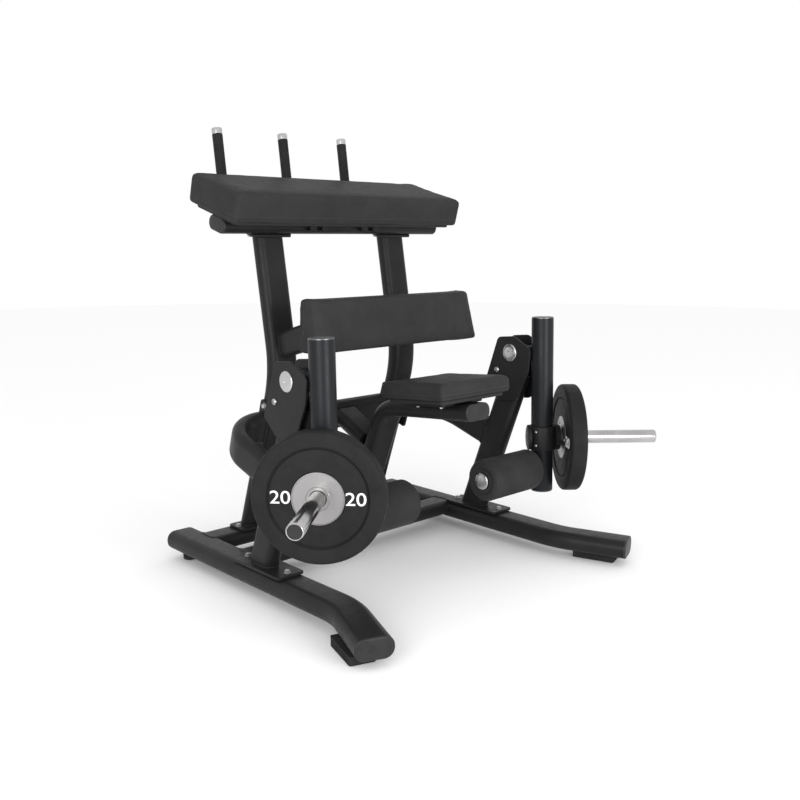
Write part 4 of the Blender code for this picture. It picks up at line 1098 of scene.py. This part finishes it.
def weight_horn(side, sign):
    r, start = HORN_RADIUS, LEVER_RADIUS + 0.006
    profile = [(0.0, start), (r, start), (r, HORN_END - 0.004), (r - 0.001, HORN_END - 0.0016),
               (r - 0.003, HORN_END), (0.0215, HORN_END), (0.0207, HORN_END - 0.0010),
               (0.0207, HORN_END - 0.0055), (0.0, HORN_END - 0.0055)]
    put_on(f"{side}_chrome_horn", turned(profile, 72, horn_base(sign), horn_direction(sign)),
           CHROME, f"{side}_lever", [f"{side}_weight_horn"])
    plug = [(0.0, HORN_END - 0.006), (0.0205, HORN_END - 0.006), (0.0205, HORN_END - 0.0026),
            (0.0195, HORN_END - 0.0018), (0.009, HORN_END - 0.0022), (0.0, HORN_END - 0.0024)]
    put_on(f"{side}_horn_plug", turned(plug, 48, horn_base(sign), horn_direction(sign)), CAP,
           f"{side}_lever")


# ---- weight plates ---------------------------------------------------------------------


def plate_middle(sign):
    return horn_base(sign) + horn_direction(sign) * PLATE_CENTRE


def weight_plate(side, sign):
    """Rubber plate: rolled rim, a groove inside it and a web that dishes slightly."""
    inner, face, r = PLATE_HUB_RADIUS + GAP, PLATE_HALF, PLATE_RADIUS
    half = [(inner, face - 0.004), (inner + 0.001, face - 0.003), (0.145, face - 0.003),
            (0.1472, face - 0.0036), (0.1490, face - 0.0056), (0.1505, face - 0.0070),
            (0.1522, face - 0.0062), (0.1545, face - 0.0020), (0.1562, face - 0.0004),
            (0.1585, face), (0.1930, face), (0.1965, face - 0.0006), (0.1995, face - 0.0024),
            (0.2017, face - 0.0052), (0.2028, face - 0.0085), (r, face - 0.012)]
    profile = half + [(radius, -height) for radius, height in reversed(half)]
    bm = turned(profile, 128, plate_middle(sign), horn_direction(sign), closed=True)
    put_on(f"{side}_rubber_plate", bm, PLATE_RUBBER, f"{side}_plate",
           [f"{side}_weight_plate"], 30.0)


def plate_hub(side, sign):
    """Steel hub with a raised ring round its bore."""
    bore, face, r = HORN_RADIUS + 0.0008, PLATE_HALF - 0.001, PLATE_HUB_RADIUS
    half = [(bore, face - 0.0010), (bore + 0.001, face), (0.0355, face), (0.0362, face - 0.0008),
            (0.0372, face - 0.0016), (r - 0.0045, face - 0.0016), (r - 0.0035, face - 0.0004),
            (r - 0.0012, face - 0.0006), (r, face - 0.0022)]
    profile = half + [(radius, -height) for radius, height in reversed(half)]
    middle = plate_middle(sign)
    look = turned_steel(f"{side}_hub_steel", (0.20, 0.195, 0.195), (0.33, 0.322, 0.322), 0.30,
                        0.42, middle - AXIS_Y * MIDDLE_Y, horn_direction(sign))
    bm = turned(profile, 96, middle, horn_direction(sign), closed=True)
    put_on(f"{side}_steel_hub", bm, look, f"{side}_plate",
           [f"{side}_plate_hub"], 30.0)


def figures(side, sign):
    """The plate's weight in raised figures, left and right of the hub on both faces."""
    out, up = horn_direction(sign), AXIS_Z
    shapes = []
    for face in (1, -1):
        facing = out * face
        right = up.cross(facing).normalized()
        for where in (-1, 1):
            curve = bpy.data.curves.new("figures", "FONT")
            curve.body = "20"
            curve.size = 0.056
            curve.extrude = 0.0006
            curve.offset = 0.0002
            curve.align_x = curve.align_y = "CENTER"
            text = bpy.data.objects.new("figures", curve)
            bpy.context.scene.collection.objects.link(text)
            graph = bpy.context.evaluated_depsgraph_get()
            mesh = bpy.data.meshes.new_from_object(text.evaluated_get(graph))
            bpy.data.objects.remove(text)
            bm = bmesh.new()
            bm.from_mesh(mesh)
            bpy.data.meshes.remove(mesh)
            turn = Matrix((right, up, facing)).transposed().to_4x4()
            spot = plate_middle(sign) + facing * (PLATE_HALF - 0.0026) + right * where * 0.113
            place = Matrix.Translation(spot) @ turn @ Matrix.Diagonal((1.16, 1.0, 1.0, 1.0))
            bmesh.ops.transform(bm, verts=bm.verts, matrix=place)
            bmesh.ops.remove_doubles(bm, verts=bm.verts, dist=0.00001)
            shapes.append(bm)
    put_on(f"{side}_plate_figures", together(*shapes), NUMBER,
           f"{side}_plate")


# ---- pads ------------------------------------------------------------------------------


def plain_mesh(source):
    graph = bpy.context.evaluated_depsgraph_get()
    return bpy.data.meshes.new_from_object(source.evaluated_get(graph))


def eased(value):
    value = min(max(value, 0.0), 1.0)
    return value * value * (3 - 2 * value)


def stuffed(bm, voxel, swell, resting, fit):
    """Foam in a sewn cover: the cover is blown up a little, held flat where it rests.

    resting tells how free a point is, from 0 on the board to 1; fit is the lowest and
    highest corner that the finished pad fills.
    """
    shell = helper("pad_blank", bm)
    shell.hide_render = False
    step = shell.modifiers.new("remesh", "REMESH")
    step.mode, step.voxel_size = "VOXEL", voxel
    blank = plain_mesh(shell)
    shell.modifiers.clear()
    shell.data = blank
    start = [v.co.copy() for v in blank.vertices]
    spots = start
    cloth = shell.modifiers.new("fill", "CLOTH")
    cloth.settings.use_pressure = True
    cloth.settings.uniform_pressure_force = 4.0
    cloth.settings.quality = 5
    cloth.settings.tension_stiffness = cloth.settings.compression_stiffness = 40.0
    cloth.settings.effector_weights.gravity = 0.0
    cloth.point_cache.frame_start, cloth.point_cache.frame_end = 1, 20
    for number in range(1, 21):
        bpy.context.scene.frame_set(number)
    blown = plain_mesh(shell)
    spots = [v.co.copy() for v in blown.vertices]
    shell.modifiers.clear()
    bpy.context.scene.frame_set(1)
    bpy.data.meshes.remove(blown)
    for vert, old, new in zip(blank.vertices, start, spots):
        move = new - old
        if move.length > swell:
            move *= swell / move.length
        vert.co = old + move * resting(old)
    low = Vector(min(v.co[i] for v in blank.vertices) for i in range(3))
    high = Vector(max(v.co[i] for v in blank.vertices) for i in range(3))
    for vert in blank.vertices:
        for i in range(3):
            share = (vert.co[i] - low[i]) / (high[i] - low[i])
            vert.co[i] = fit[0][i] + share * (fit[1][i] - fit[0][i])
    finer = shell.modifiers.new("finer", "SUBSURF")
    finer.levels = finer.render_levels = 1
    made = plain_mesh(shell)
    bpy.data.objects.remove(shell)
    return made


def block(size, edge, segments=6):
    return box(size, (0, 0, 0), edge=edge, edge_steps=segments)


def seam(surface, outline, height, inset=0.0):
    """Loop of points on a pad's skin at one height above its middle."""
    loop = []
    for p in spaced_loop([Vector((q.x, q.y, height)) for q in outline], 0.006):
        near, normal, _, _ = surface.find_nearest(p)
        loop.append(near - normal * inset)
    return loop


def cushion(name, mesh, place, node, seams, outline):
    """Puts a stuffed pad in place, with its piping and stitches."""
    bm = bmesh.new()
    bm.from_mesh(mesh)
    surface = BVHTree.FromBMesh(bm)
    piping, threads = [], []
    for height, radius in seams:
        loop = seam(surface, outline, height, radius * 0.35)
        piping.append([place @ p for p in loop])
        for lift in (0.0065,):
            threads.append([place @ p for p in seam(surface, outline, height + lift, -0.0002)])
    bmesh.ops.transform(bm, verts=bm.verts, matrix=place)
    pad = put_on(name, bm, LEATHER, stands_for=[node], smooth=180)
    welts = together(*[cord_loop(loop, (seams[i][1],)) for i, loop in enumerate(piping)])
    put_on(f"{name}_piping", welts, LEATHER, smooth=60)
    stitched(f"{name}_stitches", "frame", threads)


def flat_below(size, free=0.014):
    """Free to swell everywhere but on the underside."""
    return lambda p: eased((p.z + size[2] / 2) / free) if p.z < 0 else 1.0


def arm_pad():
    size = ARM_PAD_SIZE
    small = (size[0] - 0.008, size[1] - 0.008, size[2] - 0.008)
    half = Vector(size) / 2 - Vector((0.0002, 0.0002, 0.0002))
    mesh = stuffed(block(small, 0.016), 0.007, 0.0042, flat_below(small), (-half, half))
    place = Matrix.Translation(in_side_view(0.0, ARM_PAD_CENTRE)) @ ARM_TURN
    outline = rounded_rectangle(size[0] + 0.01, size[1] + 0.01, 0.030, 8)
    cushion("arm_cushion", mesh, place, "arm_pad", [(-size[2] / 2 + 0.016, 0.0016)], outline)
    drop = size[2] / 2 + GAP + ARM_BOARD_THICK / 2
    below = in_side_view(0.0, ARM_PAD_CENTRE) + ARM_TURN.to_3x3() @ Vector((0, 0, -drop))
    board = slab((size[0] - 0.04, size[1] - 0.04, ARM_BOARD_THICK), below, ARM_TURN, 0.025)
    put_on("arm_board", board, BOARD, stands_for=["arm_pad_board"])


def knee_pad():
    size = KNEE_PAD_SIZE
    small = (size[0] - 0.008, size[1] - 0.008, size[2] - 0.007)
    half = Vector(size) / 2 - Vector((0.0002, 0.0002, 0.0002))
    mesh = stuffed(block(small, 0.014), 0.005, 0.0045, flat_below(small, 0.010), (-half, half))
    place = Matrix.Translation(in_side_view(0.0, KNEE_PAD_CENTRE)) @ KNEE_TURN
    outline = rounded_rectangle(size[0] + 0.01, size[1] + 0.01, 0.030, 8)
    cushion("knee_cushion", mesh, place, "knee_pad", [(-size[2] / 2 + 0.012, 0.0015)], outline)
    drop = size[2] / 2 + GAP + BOARD_THICK / 2
    below = in_side_view(0.0, KNEE_PAD_CENTRE) + KNEE_TURN.to_3x3() @ Vector((0, 0, -drop))
    board = slab((size[0] - 0.03, size[1] - 0.03, BOARD_THICK), below, KNEE_TURN, 0.025)
    put_on("knee_board", board, BOARD, stands_for=["knee_pad_board"])


def thigh_pad():
    """Wedge cushion, lying on its back while it is filled and then stood up."""
    middle_z = sum(THIGH_PAD_Z) / 2
    bm = bmesh.new()
    bmesh.ops.create_cube(bm, size=1.0)
    for vert in bm.verts:
        level = 1 if vert.co.y > 0 else 0
        x = (THIGH_PAD_HALF[level] - 0.004) * (1 if vert.co.x > 0 else -1)
        y = (THIGH_PAD_Z[1 if vert.co.y > 0 else 0] - middle_z) * 0.96
        depth = THIGH_PAD_BACK_Y - THIGH_PAD_FRONT_Y[level]
        vert.co = Vector((x, y, depth - 0.004 if vert.co.z > 0 else 0.0))
    bmesh.ops.bevel(bm, geom=list(bm.edges), offset=0.014, segments=6, profile=0.5,
                    affect="EDGES")
    low = Vector((-THIGH_PAD_HALF[0], THIGH_PAD_Z[0] - middle_z, 0.0))
    high = Vector((THIGH_PAD_HALF[0], THIGH_PAD_Z[1] - middle_z,
                   THIGH_PAD_BACK_Y - THIGH_PAD_FRONT_Y[0]))
    ease = Vector((0.0002, 0.0002, 0.0002))
    mesh = stuffed(bm, 0.006, 0.0042, lambda p: eased(p.z / 0.014), (low + ease, high - ease))
    stand = Matrix(((1, 0, 0, 0), (0, 0, -1, THIGH_PAD_BACK_Y), (0, 1, 0, middle_z),
                    (0, 0, 0, 1)))
    outline = rounded_outline(
        [(THIGH_PAD_HALF[1] + 0.006, high.y + 0.006, 0.02),
         (-THIGH_PAD_HALF[1] - 0.006, high.y + 0.006, 0.02),
         (-THIGH_PAD_HALF[0] - 0.006, low.y - 0.006, 0.02),
         (THIGH_PAD_HALF[0] + 0.006, low.y - 0.006, 0.02)], 8)
    cushion("thigh_cushion", mesh, stand, "thigh_pad", [(0.016, 0.0016)], outline)
    behind = THIGH_PAD_BACK_Y + GAP + BOARD_THICK / 2
    size = (2 * min(THIGH_PAD_HALF) - 0.03, THIGH_PAD_Z[1] - THIGH_PAD_Z[0] - 0.03, BOARD_THICK)
    board = slab(size, (0.0, behind, middle_z), STAND, 0.02)
    put_on("thigh_board", board, BOARD, stands_for=["thigh_pad_board"])


# ---- ankle rollers ---------------------------------------------------------------------


def roller_middle(sign):
    x = sign * (ROLLER_OUTER_X + ROLLER_INNER_X) / 2
    return Vector((x, lever_axis(0.0, ROLLER_Z).y, ROLLER_Z))


def roller(side, sign):
    """Foam roller in a sewn sleeve, drawn in round the axle at each end."""
    half = (ROLLER_OUTER_X - ROLLER_INNER_X) / 2
    r, bore = ROLLER_RADIUS - 0.003, 0.026
    end = [(bore, half - 0.004), (r - 0.020, half - 0.002), (r - 0.012, half - 0.004),
           (r - 0.005, half - 0.009), (r - 0.001, half - 0.016), (r, half - 0.026)]
    profile = [(0.0, half - 0.006)] + end
    profile += [(radius, -height) for radius, height in reversed(end)] + [(0.0, 0.006 - half)]
    fit = Vector((ROLLER_RADIUS - 0.0002, ROLLER_RADIUS - 0.0002, half - 0.0002))
    mesh = stuffed(turned(profile, 64, (0, 0, 0), AXIS_Z), 0.005, 0.005,
                   lambda p: 0.35 + 0.65 * eased(p.xy.length / 0.05), (-fit, fit))
    place = Matrix.Translation(roller_middle(sign)) @ Matrix.Rotation(math.pi / 2, 4, "Y")
    bm = bmesh.new()
    bm.from_mesh(mesh)
    for vert in bm.verts:
        out = vert.co.xy.length
        if abs(vert.co.z) > half - 0.02 and out < 0.052:
            vert.co.z -= math.copysign(0.0042 * eased((0.052 - out) / 0.008), vert.co.z)
    surface = BVHTree.FromBMesh(bm)
    loops, threads = [], []
    for z in (-half + 0.017, half - 0.017):
        loop = [Vector((*(p * 1.15), z)) for p in circle(ROLLER_RADIUS, 120)]
        near = [surface.find_nearest(p)[0] for p in loop]
        loops.append([place @ p for p in near])
        inward = -math.copysign(0.006, z)
        loop = [Vector((p.x, p.y, z + inward)) for p in loop]
        threads.append([place @ surface.find_nearest(p)[0] for p in loop])
    bmesh.ops.transform(bm, verts=bm.verts, matrix=place)
    body = f"{side}_roller"
    pad = put_on(f"{side}_roller_sleeve", bm, LEATHER, body, [body], 180)
    welts = together(*[cord_loop(loop, (0.0013,)) for loop in loops])
    put_on(f"{side}_roller_piping", welts, LEATHER, body, smooth=60)
    discs = []
    for face in (-1, 1):
        rim = [(0.0135, half - 0.0060), (0.0440, half - 0.0060), (0.0450, half - 0.0045),
               (0.0446, half - 0.0028), (0.0430, half - 0.0018), (0.0330, half - 0.0022),
               (0.0320, half - 0.0030), (0.0135, half - 0.0030)]
        discs.append(turned(rim, 64, roller_middle(sign), AXIS_X * face, closed=True))
    put_on(f"{side}_roller_discs", together(*discs), CAP, body)
    stitched(f"{side}_roller_stitches", body, threads)


def roller_axle(side, sign):
    """Axle fixed to the lever tube, with a broad domed cap on its free end."""
    head, r = ROLLER_INNER_X - 0.0010, 0.030
    profile = [(0.0, head - 0.0040), (r * 0.5, head - 0.0038), (r - 0.004, head - 0.0028),
               (r - 0.001, head - 0.0014), (r, head), (r - 0.001, head + 0.0004),
               (AXLE_RADIUS, head + 0.0004), (AXLE_RADIUS, ROLLER_OUTER_X + 0.003),
               (0.0185, ROLLER_OUTER_X + 0.003), (0.020, ROLLER_OUTER_X + 0.0045),
               (0.020, RAIL_X - LEVER_RADIUS + 0.004), (0.0, RAIL_X - LEVER_RADIUS + 0.004)]
    base = Vector((0.0, lever_axis(0.0, ROLLER_Z).y, ROLLER_Z))
    look = turned_steel(f"{side}_axle_steel", (0.42, 0.42, 0.42), (0.62, 0.62, 0.62), 0.24,
                        0.34, base - AXIS_Y * MIDDLE_Y, AXIS_X)
    put_on(f"{side}_capped_axle", turned(profile, 64, base, AXIS_X * sign), look,
           f"{side}_lever", [f"{side}_roller_axle"])


# ---- bars that carry the pads ----------------------------------------------------------


def top_crossbar():
    section = lying(oval(CROSSBAR_LONG, CROSSBAR_SHORT, CROSSBAR_CORNER))
    up = ARM_TURN.to_3x3() @ AXIS_Z
    inner = CROSSBAR_HALF - 0.010
    start, end = (under_arm_pad(x, crossbar_drop()) for x in (-inner, inner))
    put_on("crossbar_tube", straight(start, end, section, up), COAT,
           stands_for=["top_crossbar"])
    caps = [domed_cap(start, -AXIS_X, 0.0098, section, up),
            domed_cap(end, AXIS_X, 0.0098, section, up)]
    put_on("crossbar_ends", together(*caps), CAP)
    tabs = []
    for x in (-0.150, -0.095, 0.095, 0.150):
        spot = under_arm_pad(x, ARM_PAD_SIZE[2] / 2 + ARM_BOARD_THICK + 0.016, -0.088)
        tabs.append(box((0.026, 0.004, 0.030), spot, ARM_TURN, 0.001))
        foot = under_arm_pad(x, ARM_PAD_SIZE[2] / 2 + ARM_BOARD_THICK + 0.0028, -0.098)
        tabs.append(box((0.026, 0.024, 0.004), foot, ARM_TURN, 0.001))
        low = under_arm_pad(x, ARM_PAD_SIZE[2] / 2 + ARM_BOARD_THICK + 0.029, -0.076)
        tabs.append(box((0.026, 0.028, 0.004), low, ARM_TURN, 0.001))
    put_on("pad_tabs", together(*tabs), COAT)


def upright_front_y(z):
    lean = (UPRIGHT_TOP[0] - UPRIGHT_KNEE[0]) / (UPRIGHT_TOP[1] - UPRIGHT_KNEE[1])
    middle = UPRIGHT_TOP[0] - lean * (UPRIGHT_TOP[1] - z)
    return middle - (TUBE_SHORT / 2 + GAP) * math.hypot(1.0, lean)


def thigh_arm(x, y):
    rise = THIGH_ARM_SLOPE * (THIGH_ARM_MIDDLE[0] - y)
    return Vector((x, y, THIGH_ARM_MIDDLE[1] + rise))


def thigh_bar():
    """Arm from each upright up to the thigh pad's board, joined by a bar behind it."""
    half = UPRIGHT_X - 0.010
    bar = oval(THIGH_BAR_LONG, THIGH_BAR_SHORT, 0.023)
    arm = oval(THIGH_ARM_LONG, THIGH_ARM_SHORT, 0.025)
    front = THIGH_PAD_BACK_Y + BOARD_THICK + 2 * GAP
    lean = upright_front_y(1.0) - upright_front_y(0.0)
    rear = (upright_front_y(0.0) + lean * thigh_arm(0, 0).z) / (1 + lean * THIGH_ARM_SLOPE)
    upright_face = Vector((0.0, 1.0, -lean)).normalized()
    shapes = [straight(thigh_arm(-half, THIGH_BAR_Y), thigh_arm(half, THIGH_BAR_Y), bar, AXIS_Z)]
    for sign in (-1, 1):
        x = sign * UPRIGHT_X
        near, far = thigh_arm(x, front + 0.004), thigh_arm(x, rear)
        along = (far - near).normalized()
        inside = thigh_arm(sign * (UPRIGHT_X - THIGH_ARM_SHORT / 2), THIGH_BAR_Y)
        shapes += [
            straight(near, far, arm, AXIS_Z, AXIS_Y, upright_face),
            slab((0.110, 0.100, 0.008), (x, front + 0.004, 0.884), STAND, 0.010),
            tube_weld(thigh_arm(x, front + 0.008), along, arm, AXIS_Z, AXIS_Y),
            tube_weld(far - along * 0.0012, along, arm, AXIS_Z, upright_face),
            tube_weld(inside, AXIS_X, bar, AXIS_Z, AXIS_X),
        ]
    put_on("thigh_bar_welded", together(*shapes), COAT,
           stands_for=["thigh_bar"])


# ---- hand grips ------------------------------------------------------------------------


def handle_start(x):
    back = ARM_TURN.to_3x3() @ Vector((0.0, CROSSBAR_LONG / 2 - CROSSBAR_CORNER, 0.0))
    return under_arm_pad(x, crossbar_drop()) + back


def handle_lean(x):
    knee = Vector((x, HANDLE_KNEE_Y, handle_start(x).z))
    return (in_side_view(x, HANDLE_TOP) - knee).normalized(), knee


def handle(side, x):
    top = in_side_view(x, HANDLE_TOP)
    lean, knee = handle_lean(x)
    path = bent_path([handle_start(x), knee, top - lean * 0.012], HANDLE_BEND, 20)
    edge = handle_start(x) + Vector((0, 0.0258, 0))
    weld = weld_bead([edge + Vector((p.x, 0, p.y)) for p in circle(HANDLE_RADIUS + 0.001, 40)],
                     0.0028)
    tube = together(swept(path, circle(HANDLE_RADIUS, 40), AXIS_X), weld)
    put_on(f"{side}_handle_bar", tube, COAT, stands_for=[f"{side}_handle"])
    r, long = GRIP_RADIUS, HANDLE_CAP_LONG
    profile = [(0.0, 0.0), (r - 0.001, 0.0), (r, 0.001), (r, 0.006), (r - 0.0007, 0.0066),
               (r - 0.0007, 0.0078), (r, 0.0084), (r, long - 0.004), (r - 0.001, long - 0.0016),
               (r - 0.004, long), (0.0, long)]
    cap = turned(profile, 56, top - lean * HANDLE_CAP_LONG, lean)
    put_on(f"{side}_handle_tip", cap, SILVER_CAP)


def grip(side, x):
    """Rubber sleeve with fine ribs round it, under its cap."""
    lean, _ = handle_lean(x)
    low = in_side_view(x, HANDLE_TOP) - lean * (HANDLE_CAP_LONG + GAP + GRIP_LONG)
    bore, r = HANDLE_RADIUS + GAP, GRIP_RADIUS
    profile = [(bore, 0.0), (r - 0.001, 0.0), (r, 0.0015), (r, 0.008)]
    for rib in range(24):
        start = 0.010 + rib * 0.00625
        profile += [(r - 0.0006, start), (r - 0.0006, start + 0.0014), (r, start + 0.0020),
                    (r, start + 0.0056)]
    profile += [(r, GRIP_LONG - 0.0015), (r - 0.001, GRIP_LONG), (bore, GRIP_LONG)]
    put_on(f"{side}_ribbed_grip", turned(profile, 40, low, lean, closed=True), GRIP_RUBBER,
           stands_for=[f"{side}_grip"])


# ---- fasteners -------------------------------------------------------------------------


def frame_bolts():
    hexes, buttons = [], []
    top = FLOOR_FRAME_TOP + GAP + PLATE_THICK
    arm_down = ARM_TURN.to_3x3() @ -AXIS_Z
    knee_down = KNEE_TURN.to_3x3() @ -AXIS_Z
    lean = upright_lean().to_3x3()
    for sign in (-1, 1):
        for y in (0.059, 0.285):
            hexes.append((Vector((sign * RAIL_X, y, top)), AXIS_Z, 0.0105))
        for x in (UPRIGHT_X - 0.072, UPRIGHT_X + 0.072):
            hexes.append((Vector((sign * x, UPRIGHT_BASE_Y, top)), AXIS_Z, 0.0095))
            head = under_arm_pad(sign * x, HEAD_DROP + PLATE_THICK / 2)
            hexes.append((head, arm_down, 0.0085))
        hexes.append((Vector((sign * 0.076, COLUMN_BASE_Y, top)), AXIS_Z, 0.0095))
        for reach in (-0.082, 0.082):
            along = lean @ Vector((0, 0, reach))
            face = UPRIGHT_X + TUBE_LONG / 2 + GAP + PLATE_THICK
            hexes.append((spine_point(sign * face, SPINE_Y) + along, AXIS_X * sign, 0.0095))
            face = UPRIGHT_X - TUBE_LONG / 2 - GAP - PLATE_THICK
            hexes.append((spine_point(sign * face, SPINE_Y) + along, AXIS_X * -sign, 0.0095))
        for direction in (-1, 1):
            x = sign * RAIL_X + direction * (BRACKET_INNER_FACE + BRACKET_THICK)
            spot = in_side_view(x, (0.042, 0.691))
            buttons.append((spot, AXIS_X * direction, 0.0110))
        for y in (-0.055, 0.055):
            drop = KNEE_PAD_SIZE[2] / 2 + BOARD_THICK + 2 * GAP + 0.016
            spot = in_side_view(sign * 0.080, KNEE_PAD_CENTRE)
            spot += KNEE_TURN.to_3x3() @ Vector((0, y, -drop))
            hexes.append((spot, knee_down, 0.0075))
        for across in (-0.043, 0.043):
            spot = (sign * UPRIGHT_X + across, THIGH_PAD_BACK_Y + BOARD_THICK + 0.0086, 0.884)
            buttons.append((Vector(spot), AXIS_Y, 0.0065))
    fasteners("frame_hex_bolts", "frame", hexes, HEX_BOLT)
    fasteners("frame_button_bolts", "frame", buttons, BUTTON_BOLT)


def collar_screws(side, sign):
    axis = (lever_axis(0, LEVER_TOP[1]) - lever_axis(0, LEVER_BOTTOM[1])).normalized()
    spots = []
    for turn in (-0.9, 0.9):
        out = Matrix.Rotation(turn, 3, axis) @ -horn_direction(sign)
        for along in (-0.026, 0.026):
            point = horn_base(sign) + axis * along + out * (SLEEVE_RADIUS - 0.0004)
            spots.append((point, out, 0.0060))
    fasteners(f"{side}_collar_screws", f"{side}_lever", spots, BUTTON_BOLT)
    out = horn_direction(sign)
    right = AXIS_Z.cross(out)
    spots = []
    for number in range(6):
        turn = math.pi * number / 3
        spoke = right * math.cos(turn) + AXIS_Z * math.sin(turn)
        point = plate_middle(sign) + spoke * 0.058 - out * (PLATE_HALF - 0.0028)
        spots.append((point, -out, 0.0050))
    fasteners(f"{side}_hub_screws", f"{side}_plate", spots, BUTTON_BOLT)


# ---- the machine -----------------------------------------------------------------------


def dress():
    arm_pad()
    thigh_pad()
    knee_pad()
    floor_cross_tube("rear_cross_tube", REAR_CROSS_Y)
    floor_cross_tube("front_cross_tube", FRONT_CROSS_Y)
    seat_column()
    column_brace()
    mid_cross_tube()
    top_crossbar()
    thigh_bar()
    for side, x in HANDLE_XS:
        handle(side, x)
        grip(side, x)
    for side, sign in SIDES:
        base_rail(side, sign)
        rail_caps(side, sign)
        front_foot(side, sign)
        rear_foot(side, sign)
        upright(side, sign)
        side_brace(side, sign)
        pivot_post(side, sign)
        bracket(side, "outer", sign, sign)
        bracket(side, "inner", sign, -sign)
        pivot_shaft(side, sign)
        pivot_bush(side, sign)
        lever_arm(side, sign)
        lever_tube(side, sign)
        horn_collar(side, sign)
        weight_horn(side, sign)
        weight_plate(side, sign)
        plate_hub(side, sign)
        figures(side, sign)
        roller(side, sign)
        roller_axle(side, sign)
        collar_screws(side, sign)
    frame_bolts()


dress()
for lent in (HEX_BOLT, BUTTON_BOLT, STITCH):
    bpy.data.objects.remove(lent)

# ---- studio ----------------------------------------------------------------------------


def studio_floor():
    bm = bmesh.new()
    bmesh.ops.create_circle(bm, cap_ends=True, radius=14.0, segments=96)
    bmesh.ops.translate(bm, verts=bm.verts, vec=(0, 0, -0.0005))
    mesh = bpy.data.meshes.new("studio_floor")
    bm.to_mesh(mesh)
    bm.free()
    paper = Finish("studio_paper", (0.96, 0.96, 0.96), Specular_IOR_Level=0.0)
    fibre = paper.noise(60.0, 4.0)
    paper.colour(paper.between(fibre, 0, 1), (0.955, 0.955, 0.955), (0.97, 0.97, 0.97))
    paper.roughness(paper.between(fibre, 0.85, 0.92))
    mesh.materials.append(paper.material)
    made = bpy.data.objects.new("studio_floor", mesh)
    bpy.context.scene.collection.objects.link(made)


def soft_light(name, spot, aim, size, power):
    data = bpy.data.lights.new(name, "AREA")
    data.shape, data.size, data.energy = "DISK", size, power
    made = bpy.data.objects.new(name, data)
    made.location = spot
    made.rotation_mode = "QUATERNION"
    made.rotation_quaternion = (Vector(aim) - Vector(spot)).to_track_quat("-Z", "Y")
    bpy.context.scene.collection.objects.link(made)


def studio():
    scene = bpy.context.scene
    scene.view_settings.view_transform = "Standard"
    world = bpy.data.worlds.new("white_studio")
    world.use_nodes = True
    sky = world.node_tree.nodes["Background"]
    sky.inputs["Color"].default_value = (1, 1, 1, 1)
    sky.inputs["Strength"].default_value = 1.0
    scene.world = world
    soft_light("key", (-4.2, -2.2, 1.6), (0, 0, 0.8), 2.4, 90)
    soft_light("front", (-0.4, -4.8, 1.3), (0, 0, 0.9), 2.2, 110)
    camera = bpy.data.cameras.new("camera")
    camera.lens, camera.sensor_width = 41.515, 36.0
    made = bpy.data.objects.new("camera", camera)
    made.location = (-2.237, -2.4367, 1.200)
    made.rotation_euler = (math.radians(90 - 10.02), 0.0, math.radians(-43.186))
    scene.collection.objects.link(made)
    scene.camera = made


studio_floor()
studio()
